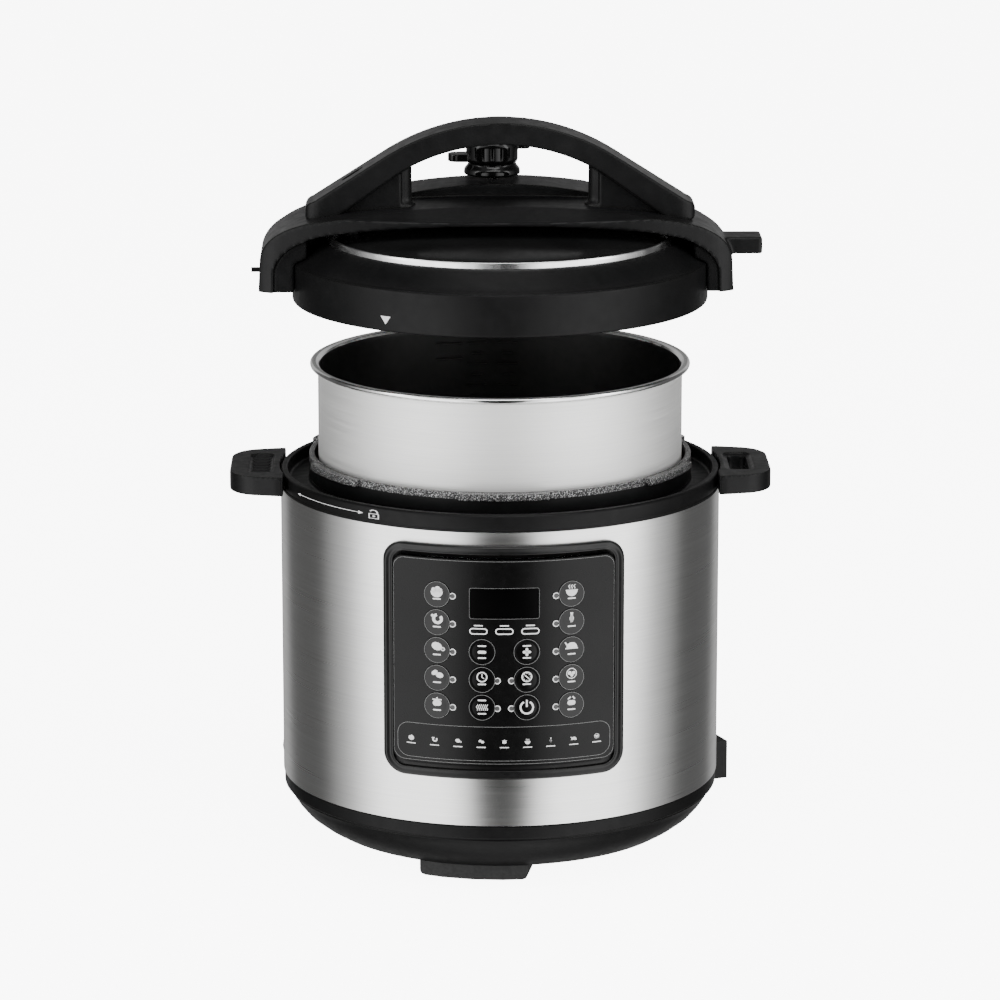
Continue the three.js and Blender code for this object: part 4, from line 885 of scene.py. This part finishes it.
def divided(points, longest=3.0):
    """The closed loop with no side longer than that, so that it follows the curved face."""
    result = []
    for here, after in zip(points, points[1:] + points[:1]):
        pieces = max(1, math.ceil((Vector(after) - Vector(here)).length / longest))
        result += [tuple(Vector(here).lerp(Vector(after), k / pieces)) for k in range(pieces)]
    return result


def round_the_base(radius):
    """Lays (degrees from the front, height) on a cylinder."""
    def place(u, v):
        a = math.radians(u)
        return (radius * math.sin(a) * MM, -radius * math.cos(a) * MM, v * MM)
    return place


def lock_marks():
    """Turning arrow and open padlock on the collar, and the lid's pointer."""
    z = (SHELL_TOP + COLLAR_TOP) / 2 + 0.4
    start, end = -65.5, -38.0
    arrow = line([(start + 0.6 + (end - start - 1.2) * k / 20, z) for k in range(21)], 0.35)
    arrow += [[(start, z), (start + 1.6, z + 1.0), (start + 1.6, z - 1.0)]]
    arrow += [[(end, z), (end - 1.6, z - 1.0), (end - 1.6, z + 1.0)]]
    left, right = end + 1.9, end + 4.7
    lock = line([(left, z - 2.4), (right, z - 2.4), (right, z + 0.4), (left, z + 0.4)], 0.5, True)
    lock += spot(end + 3.3, z - 1.0, 0.45)
    lock += line([(end + 4.4, z + 0.4), (end + 4.4, z + 1.7), (end + 3.8, z + 2.7), (end + 2.8, z + 2.7),
                  (end + 2.2, z + 1.9)], 0.45)
    printed("collar_marks", arrow + lock, round_the_base(SHELL_RADIUS + 0.36), WHITE_INK, "base")
    pointer = [[(-34.8, LID + 9.6), (-31.6, LID + 9.6), (-33.2, LID + 4.6)]]
    printed("lid_pointer", pointer, round_the_base(LID_RADIUS + 0.06), WHITE_INK, "lid")


# ---- inner pot ----

def pot():
    r, top, wall, corner = POT_RADIUS, POT_TOP - POT_LOW, 1.5, 14.0
    outside = arc(r - corner, corner, corner, -90, 0, 10)
    inside = arc(r - corner, corner, corner - wall, 0, -90, 10)
    roll = arc(POT_RIM - 1.7, top - 1.6, 1.6, -70, 110, 10)
    profile = [(0, 0), *outside, (r, top - 6), (r + 0.5, top - 4.2), (r + 2.2, top - 3.2), *roll,
               (r + 1.2, top - 0.1), (r - wall + 1.2, top - 0.9), (r - wall + 0.2, top - 2.2),
               (r - wall, top - 5), *inside, (0, wall)]
    body = turned(profile, POT_LOW, 256, 0.3)
    finished_pot = finished("pot_skin", body, [POT_STEEL, NON_STICK, POLISHED], "inner_pot",
                            ["inner_pot"])
    for polygon in finished_pot.data.polygons:
        z = polygon.center.z / MM - POT_LOW
        radius = math.hypot(polygon.center.x, polygon.center.y) / MM
        if z > top - 4.4 and radius > r - wall + 0.35:
            polygon.material_index = 2
        elif radius < r - 0.8 and z > wall * 0.6:
            polygon.material_index = 1


def level_marks():
    """Raised fill lines on the back wall inside the pot."""
    radius = POT_RADIUS - 1.5
    bm = bmesh.new()
    top = POT_TOP - 12
    marks = [(176.5, top - k * 7, 3.2 if k % 2 == 0 else 1.8) for k in range(6)]
    marks += [(186.5, top - k * 7, 3.2 if k % 2 == 0 else 1.8) for k in range(6)]
    marks += [(196, top, 4.5), (196, top - 10, 4.5)]
    for angle, z, half in marks:
        steps = 8
        rows = []
        for k in range(steps + 1):
            a = math.radians(angle + half * (2 * k / steps - 1))
            row = []
            for depth, height in ((0.0, -0.7), (0.45, -0.4), (0.45, 0.4), (0.0, 0.7)):
                d = radius - depth
                row.append(bm.verts.new((d * math.sin(a) * MM, -d * math.cos(a) * MM, (z + height) * MM)))
            rows.append(row)
        for one, two in zip(rows, rows[1:]):
            for k in range(3):
                bm.faces.new((one[k], two[k], two[k + 1], one[k + 1]))
    bmesh.ops.recalc_face_normals(bm, faces=bm.faces)
    finished("level_marks", bm, NON_STICK, "inner_pot")


# ---- lid ----

def shoulder(grow=0.0):
    """Top of the cover from the skirt's step in to the chrome rim."""
    r = LID_RADIUS
    points = [(r - 2.2, SKIRT + 0.5)] + curve((r - 2.2, SKIRT + 0.5), (r - 8, SKIRT + 2.2),
                                              (r - 14, SKIRT + SHOULDER - 2.6),
                                              (r - 20.7, SKIRT + SHOULDER), steps=10)
    return [(x + grow, z + grow) for x, z in points]


def cover():
    r = LID_RADIUS
    inner = LID_PLATE_RADIUS + 0.3
    seat = SKIRT + SHOULDER - 3
    profile = [(inner, 0.2), (inner + 0.6, 0), (r - 1.2, 0), (r - 0.3, 0.6), (r, 1.6), (r, SKIRT - 1.0),
               (r - 0.5, SKIRT - 0.1), (r - 1.6, SKIRT), *shoulder(),
               (RIM_SEAT + 0.3, SKIRT + SHOULDER - 0.5), (RIM_SEAT + 0.3, seat), (RIM_SEAT - 4.5, seat),
               (RIM_SEAT - 4.5, seat - 2.5), (r - 13, SKIRT + 4), (inner, SKIRT - 0.6)]
    finished("cover_skin", turned(profile, LID, 256, 0.35), MATTE, "lid", ["lid_cover"], 40)


def rim():
    inner, bottom = RIM_SEAT - 2.7, low("chrome_rim") - LID
    middle = (inner + RIM_SEAT) / 2
    crown = [(x, RIM_TOP - 2.6 + 2.6 * (z - RIM_TOP)) for x, z in arc(middle, RIM_TOP, 1.35, 0, 180, 14)]
    crown = [(x, min(z, RIM_TOP)) for x, z in crown]
    profile = [(inner, bottom), (RIM_SEAT, bottom), (RIM_SEAT, RIM_TOP - 3), *crown, (inner, RIM_TOP - 3)]
    finished("rim_skin", turned(profile, LID, 256, 0.1), CHROME, "lid", ["chrome_rim"], 60)


def dome():
    edge = high("lid_dome", 0)
    base = DOME_TOP - 9.0
    top = [(edge * math.sin(math.pi / 2 * share), base + 9.0 * math.cos(math.pi / 2 * share) ** 0.9)
           for share in (*(0.08 * k for k in range(12)), 0.95)]
    profile = [(0, top[0][1]), *top[1:], (edge, base + 0.6), (edge, base - 0.8), (edge - 3, base - 0.9),
               (edge * 0.75, base + 3), (0, base + 6.4)]
    body = turned(profile, LID, 256, 0.4)
    finished("dome_skin", body, DOME_GLOSS, "lid", ["lid_dome"], 45)


def plate():
    """Pressed steel plate under the lid with its six lugs turned inwards."""
    r, top = LID_PLATE_RADIUS, low("lid_plate") - LID + 21.9
    bottom = low("lid_plate") - LID
    profile = [(0, top + 4.4), (50, top + 4.4), (r - 22, top - 1), (r - 4, top - 1.2), (r - 1, top - 4),
               (r - 1, bottom), (r, bottom), (r, top - 3), (r - 3, top), (r - 22, top), (50, top + 5.5),
               (0, top + 5.5)]
    body = turned(profile, LID, 192, 1.2)
    add_lugs(body, r - 0.5, r - 5.1, -60, 12, 16, LID + bottom, LID + bottom + 3.5, 0.5)
    finished("plate_skin", body, PLAIN_STEEL, "lid", ["lid_plate"])


def seal():
    outside = high("sealing_ring", 0)
    bottom, top = low("sealing_ring") - LID, high("sealing_ring") - LID
    inner = POT_RADIUS - 4.5
    profile = [(inner + 2.4, bottom + 0.3), (inner + 4, bottom), (outside - 2, bottom),
               (outside, bottom + 2.4), (outside, top - 1), (outside - 1, top), (inner + 1, top),
               (inner, top - 1), (inner, bottom + 3)]
    finished("seal_skin", turned(profile, LID, 192, 0.9), SILICONE, "seal", ["sealing_ring"])


def rack():
    inner = high("ring_rack", 0)
    bottom, top = low("ring_rack"), high("ring_rack")
    profile = [(inner - 1.4, bottom + 1), (inner - 0.7, bottom), (inner, bottom + 1), (inner, top - 1),
               (inner - 0.7, top), (inner - 1.4, top - 1)]
    finished("rack_skin", turned(profile, 0, 192, 0.5), PLAIN_STEEL, "lid", ["ring_rack"])


def arch(inset, bottom):
    """Front view of the saddle: a low arch whose ends turn down over the skirt."""
    top = SADDLE_MIDDLE - inset
    bend = top - 27.7

    def side(end, inwards):
        points = [(end, bottom), (end + inwards, bend - 4)]
        points += curve(points[-1], (end + 2 * inwards, bend + 10), (end + 18 * inwards, top - 10),
                        (end + 34 * inwards, top - 7), steps=14)
        return points + curve(points[-1], (end / 2, top), (0, top), steps=14)

    return side(SADDLE_LEFT + inset, 1) + side(SADDLE_RIGHT - inset, -1)[-2::-1]


def saddle_plan(inset=0.0):
    left, right = SADDLE_LEFT, SADDLE_RIGHT
    front, back, ear = 42 - inset, high("lid_saddle", 1) - inset, 28 - inset
    points = [(left - 5, -ear + 12)]
    points += curve(points[-1], (left + 2, -ear), (left + 14, -ear - 2), steps=6)
    points += curve(points[-1], (left / 2, -front), (0, -front), steps=12)
    points += curve(points[-1], (right / 2, -front), (right - 14, -ear - 2), steps=12)
    points += curve(points[-1], (right - 2, -ear), (right + 5, -ear + 12), steps=6)
    points += [(right + 5, ear - 12)]
    points += curve(points[-1], (right - 2, ear), (right - 14, ear + 2), steps=6)
    points += curve(points[-1], (right * 0.6, back), (0, back), steps=14)
    points += curve(points[-1], (left * 0.6, back), (left + 14, ear + 2), steps=14)
    points += curve(points[-1], (left + 2, ear), (left - 5, ear - 12), steps=6)
    return points


def tilted_block(start, drop, length, towards):
    """A big block whose underside falls by drop over length, from y = start towards the front or back."""
    top, far = SADDLE_MIDDLE + LID, 400
    end = start + towards * far
    outline = [(start, top), (end, top - drop / length * far), (end, top + 300), (start, top + 300)]
    return prism(outline, -300, 300, "yz")


def hump():
    """Raised rear of the saddle, under the steam knob."""
    half, foot, rise = 88, SADDLE_MIDDLE - 6, HUMP_TOP - SADDLE_MIDDLE
    outline = [(-half, foot)] + curve((-half, foot), (0, SADDLE_MIDDLE + 6 + 2 * rise), (half, foot),
                                      steps=40)
    outline += [(half - 4, foot - 6), (4 - half, foot - 6)]
    body = prism([(x, z + LID) for x, z in outline], 24, 76, "xz")
    plan = prism(saddle_plan(1), LID, LID + 200, "xy")
    body = combined(body, plan, "INTERSECT")
    slope = math.tan(math.radians(34))
    top = HUMP_TOP + LID
    outline = [(62, top), (162, top - 100 * slope), (162, top + 100), (62, top + 100)]
    return combined(body, prism(outline, -300, 300, "yz"))


def mouth():
    """Opening under the saddle's front strip, over the dome."""
    opening = prism([(x, z + LID) for x, z in arch(SADDLE_STRIP, -60)], -200, -6, "xz")
    middle = prism(rounded(2 * (LID_RADIUS - 10), 500, 3, 0, 0), LID - 100, LID + 200, "xy")
    return combined(opening, middle, "INTERSECT")


def ear_recess():
    """Shallow hollow in the front of both ears."""
    return prism([(x, z + LID) for x, z in arch(SADDLE_STRIP + 0.2, -60)], -200, -26, "xz")


def float_sleeve():
    """Sleeve round the float valve between the dome and the saddle's strip."""
    outer = prism(arc(-92, 0, 6.5, 0, 352.5, 47), LID + 36, LID + 57, "xy")
    body = combined(outer, prism(arc(-92, 0, 4.4, 0, 352.5, 47), LID + 20, LID + 70, "xy"))
    finished("float_sleeve_skin", body, HANDLE_BLACK, "lid")


def saddle():
    front = prism([(x, z + LID) for x, z in arch(0, low("lid_saddle") - LID)], -200, 200, "xz")
    plan = prism(saddle_plan(), LID - 50, LID + 200, "xy")
    body = combined(front, plan, "INTERSECT")
    body = combined(body, tilted_block(-14, 6, 28, -1))
    body = combined(body, tilted_block(45, 10, 31, 1))
    body = combined(body, hump(), "UNION")
    r = LID_RADIUS + 0.4
    under = turned([(0, -60), (r, -60), (r, SKIRT + 0.2), *shoulder(0.4), (RIM_SEAT + 0.4, RIM_TOP + 0.3),
                    (RIM_SEAT - 4, RIM_TOP + 0.3), (80, DOME_TOP - 3.4), (40, DOME_TOP - 0.3),
                    (0, DOME_TOP + 0.3)],
                   LID, 192, 0)
    body = combined(body, under)
    body = combined(combined(body, mouth()), ear_recess())
    fin_low, right = 29 + LID, SADDLE_RIGHT
    tip = high("lid_saddle", 0)
    fin = rounded(tip - right + 8, 25, 2, (tip + right - 8) / 2, 0)
    body = prism(fin, fin_low, fin_low + 10.4, "xy", body)
    body = moulded(body, 0.9, 5)
    finished("saddle_skin", body, HANDLE_BLACK, "lid", ["lid_saddle"])
    float_sleeve()


def handle_outline():
    """Front view of the arched handle with its two feet."""
    bend = 32.3  # degrees of the arc to each side, before the straight ends
    slope = math.radians(bend)
    radius, bar, nose = 134.0, 13.5, HANDLE_HALF
    centre = HANDLE_TOP - radius
    end_x = nose - 5

    def end_height(arc_radius):
        bend_x, bend_z = arc_radius * math.sin(slope), centre + arc_radius * math.cos(slope)
        return bend_z - (end_x - bend_x) * math.tan(slope)

    outer, inner = end_height(radius), end_height(radius - bar)
    foot = SADDLE_MIDDLE - 9
    points = [(nose, foot + 2), (nose, outer - 6)]
    points += curve(points[-1], (nose, outer - 1), (end_x, outer), steps=6)
    points += arc(0, centre, radius, 90 - bend, 90 + bend, 48)
    points += [(-end_x, outer)] + curve((-end_x, outer), (-nose, outer - 1), (-nose, outer - 6), steps=6)
    points += [(-nose, foot + 2), (-nose + 2, foot), (14 - nose, foot), (16 - nose, foot + 2),
               (16 - nose, inner + 4)]
    points += arc(0, centre, radius - bar, 90 + bend, 90 - bend, 48)
    return points + [(nose - 16, inner + 4), (nose - 16, foot + 2), (nose - 14, foot), (nose - 2, foot)]


def handle():
    depth = high("lid_handle", 1)
    body = prism([(x, z + LID) for x, z in handle_outline()], -depth, depth, "xz")
    body = combined(body, handle_rounding(depth), "INTERSECT")
    for side in (-1, 1):
        post, web_end = 61.5, HANDLE_HALF - 9
        top = HANDLE_TOP - 24
        web = [(side * post, SADDLE_MIDDLE - 8 + LID), (side * web_end, SADDLE_MIDDLE - 12 + LID),
               (side * web_end, SADDLE_MIDDLE + 2 + LID), (side * post, top + LID)]
        body = prism(web if side > 0 else web[::-1], -9.5, 9.5, "xz", body)
        turned([(0, SADDLE_MIDDLE - 8), (9, SADDLE_MIDDLE - 8), (9, SADDLE_MIDDLE - 0.4),
                (6.8, SADDLE_MIDDLE + 1.6), (6.5, SADDLE_MIDDLE + 4), (6.5, top),
                (0, top)], LID, 48, 0.4, (side * post, 0), body)
    slot = prism(rounded(13, 6.6, 3.2, low("float_valve", 0) + 6, 0), LID, LID + 200, "xy")
    body = combined(moulded(body, 0.8, 5), slot)
    finished("handle_skin", body, HANDLE_BLACK, "lid", ["lid_handle"], 50)


def handle_rounding(depth):
    """The bar is narrower towards its two ends, with round corners seen from above."""
    half = HANDLE_HALF
    plan = [(half, -depth + 8)] + curve((half, -depth + 8), (half, -depth), (half - 12, -depth), steps=6)
    plan += curve(plan[-1], (half * 0.5, -depth + 0.5), (0, -depth + 1), (-half * 0.5, -depth + 0.5),
                  (-half + 12, -depth), steps=16)
    plan += curve(plan[-1], (-half, -depth), (-half, -depth + 8), steps=6)
    return prism(both_sides(plan), LID, LID + 300, "xy")


def knob():
    """Steam release: a fluted cap over a wide skirt, with a pointer tab and a finger tab."""
    r = 16.5
    bottom, top = KNOB_LOW, KNOB_TOP
    profile = [(0, bottom + 1.2), (5, bottom + 1), (r - 1, bottom), (r + 1.5, bottom + 0.6),
               (r + 1.2, bottom + 4), (r - 0.5, bottom + 6), (r - 1.6, bottom + 7.4), (r - 0.4, bottom + 9),
               (r, bottom + 10), (r, top - 4), (r - 1.2, top - 1.4), (r - 4, top - 0.3), (0, top)]
    body = turned(profile, LID, 96, 0.7, KNOB)
    x, y = KNOB
    prism(rounded(28, 14, 6.5, x - 14, y), LID + bottom + 8.5, LID + bottom + 13.5, "xy", body)
    prism(rounded(24, 8, 3.8, x + 12, y), LID + top - 6.5, LID + top - 2.2, "xy", body)
    body = moulded(body, 0.5, 4)
    for k in range(18):
        a = 2 * math.pi * k / 18
        groove = turned([(0, bottom + 10.5), (1.0, bottom + 11), (1.0, top - 4.5), (0, top - 3.5)], LID,
                        12, 0, (x + (r + 0.5) * math.sin(a), y - (r + 0.5) * math.cos(a)))
        body = combined(body, groove)
    finished("knob_skin", body, GLOSS, "steam_knob", ["steam_knob"], 50)


# ---- camera, light and floor ----

def camera():
    data = bpy.data.cameras.new("camera")
    data.sensor_width = 36
    distance, elevation, azimuth, width = 3.0, math.radians(13.5), math.radians(-1.1), 0.633
    data.lens = 36 * distance / width
    data.clip_end = 100
    target = Vector((0, 0, 0.2165))
    direction = Vector((math.sin(azimuth) * math.cos(elevation), -math.cos(azimuth) * math.cos(elevation),
                        math.sin(elevation)))
    obj = bpy.data.objects.new("camera", data)
    obj.location = target + direction * distance
    obj.rotation_euler = (-direction).to_track_quat("-Z", "Y").to_euler()
    bpy.context.scene.collection.objects.link(obj)
    bpy.context.scene.camera = obj


def softbox(name, azimuth, elevation, distance, wide, tall, power):
    """An area light that faces the cooker; azimuth counts from the front to the right."""
    data = bpy.data.lights.new(name, "AREA")
    data.shape = "RECTANGLE"
    data.size, data.size_y, data.energy = wide, tall, power
    a, e = math.radians(azimuth), math.radians(elevation)
    direction = Vector((math.sin(a) * math.cos(e), -math.cos(a) * math.cos(e), math.sin(e)))
    obj = bpy.data.objects.new(name, data)
    obj.location = Vector((0, 0, 0.22)) + direction * distance
    obj.rotation_euler = (-direction).to_track_quat("-Z", "Y").to_euler()
    bpy.context.scene.collection.objects.link(obj)


def studio():
    softbox("top_soft", 8, 62, 2.4, 1.8, 0.9, 26)
    softbox("left_edge", -70, 28, 2.2, 0.5, 1.6, 7)
    softbox("right_edge", 70, 28, 2.2, 0.5, 1.6, 9)
    softbox("back_soft", 180, 84, 2.4, 1.2, 1.0, 8)


def world():
    """Pale studio surroundings, darker straight ahead and behind so that turned metal shows soft bands."""
    made = bpy.data.worlds.new("studio")
    made.use_nodes = True
    tree = made.node_tree
    background = tree.nodes["Background"]
    coordinates = tree.nodes.new("ShaderNodeTexCoord")
    parts = tree.nodes.new("ShaderNodeSeparateXYZ")
    tree.links.new(coordinates.outputs["Generated"], parts.inputs[0])

    def maths(operation, source, second):
        made = tree.nodes.new("ShaderNodeMath")
        made.operation = operation
        tree.links.new(source, made.inputs[0])
        if isinstance(second, (int, float)):
            made.inputs[1].default_value = second
        else:
            tree.links.new(second, made.inputs[1])
        return made.outputs[0]

    angle = maths("ARCTAN2", parts.outputs["X"], maths("MULTIPLY", parts.outputs["Y"], -1))
    share = maths("DIVIDE", maths("ABSOLUTE", angle, 0), math.pi)
    ramp = tree.nodes.new("ShaderNodeValToRGB")
    stops = ((0.0, 0.012), (0.07, 0.025), (0.115, 0.75), (0.17, 1.3), (0.36, 1.3), (0.48, 0.3),
             (0.6, 0.04), (0.8, 0.05), (0.86, 0.22), (0.94, 0.22), (1.0, 0.07))
    while len(ramp.color_ramp.elements) < len(stops):
        ramp.color_ramp.elements.new(0.5)
    for element, (position, value) in zip(ramp.color_ramp.elements, stops):
        element.position = position
        element.color = (value, value, value, 1)
    tree.links.new(share, ramp.inputs["Fac"])
    tree.links.new(ramp.outputs["Color"], background.inputs["Color"])
    overhead = tree.nodes.new("ShaderNodeMapRange")
    for socket, value in (("From Min", 0.3), ("From Max", 0.75), ("To Min", 2.5), ("To Max", 0.45)):
        overhead.inputs[socket].default_value = value
    tree.links.new(parts.outputs["Z"], overhead.inputs["Value"])
    tree.links.new(overhead.outputs["Result"], background.inputs["Strength"])
    bpy.context.scene.world = made


def floor():
    """Pale floor and a plain backdrop that only the camera sees."""
    bm = bmesh.new()
    steps = 24
    for i in range(steps):
        for j in range(steps):
            corners = [((i + a) / steps * 24 - 12, (j + b) / steps * 24 - 12, 0) for a, b in
                       ((0, 0), (1, 0), (1, 1), (0, 1))]
            bm.faces.new([bm.verts.new(corner) for corner in corners])
    bmesh.ops.remove_doubles(bm, verts=bm.verts, dist=1e-5)
    paper = Maker("floor_paper", grey(0.9), 0.9)
    paper.colour(paper.noise(3, 2), (0.3, grey(0.89)), (0.7, grey(0.91)))
    paper.set(paper.shader, "Emission Color", (1, 1, 1, 1))
    paper.set(paper.shader, "Emission Strength", 8.0)
    ground = in_scene(bm, "floor", paper.material)
    wall = turned([(11800, -50), (11900, -50), (11900, 9000), (11800, 9000)], 0, 96, 0)
    glow = Maker("backdrop_paper", grey(0), 0.5)
    glow.set(glow.shader, "Emission Color", (1, 1, 1, 1))
    glow.set(glow.shader, "Emission Strength", 9.5)
    backdrop = in_scene(wall, "backdrop", glow.material)
    for piece in (ground, backdrop):
        piece.visible_glossy = piece.visible_diffuse = False
    backdrop.visible_shadow = False


# ---- all together ----

camera()
studio()
world()
floor()
dress_nodes()

shell()
housing()
collar_ring()
base_handle(-1, "left_handle_skin", "left_handle")
base_handle(1, "right_handle_skin", "right_handle")
locking_ring()
liner()
heater()
collector()

bezel()
display = overlay()
for key in BUTTON_NODES:
    button(key)
    key_print(key)
panel_print(*display)
lock_marks()

pot()
level_marks()

cover()
rim()
dome()
plate()
seal()
rack()
saddle()
handle()
knob()
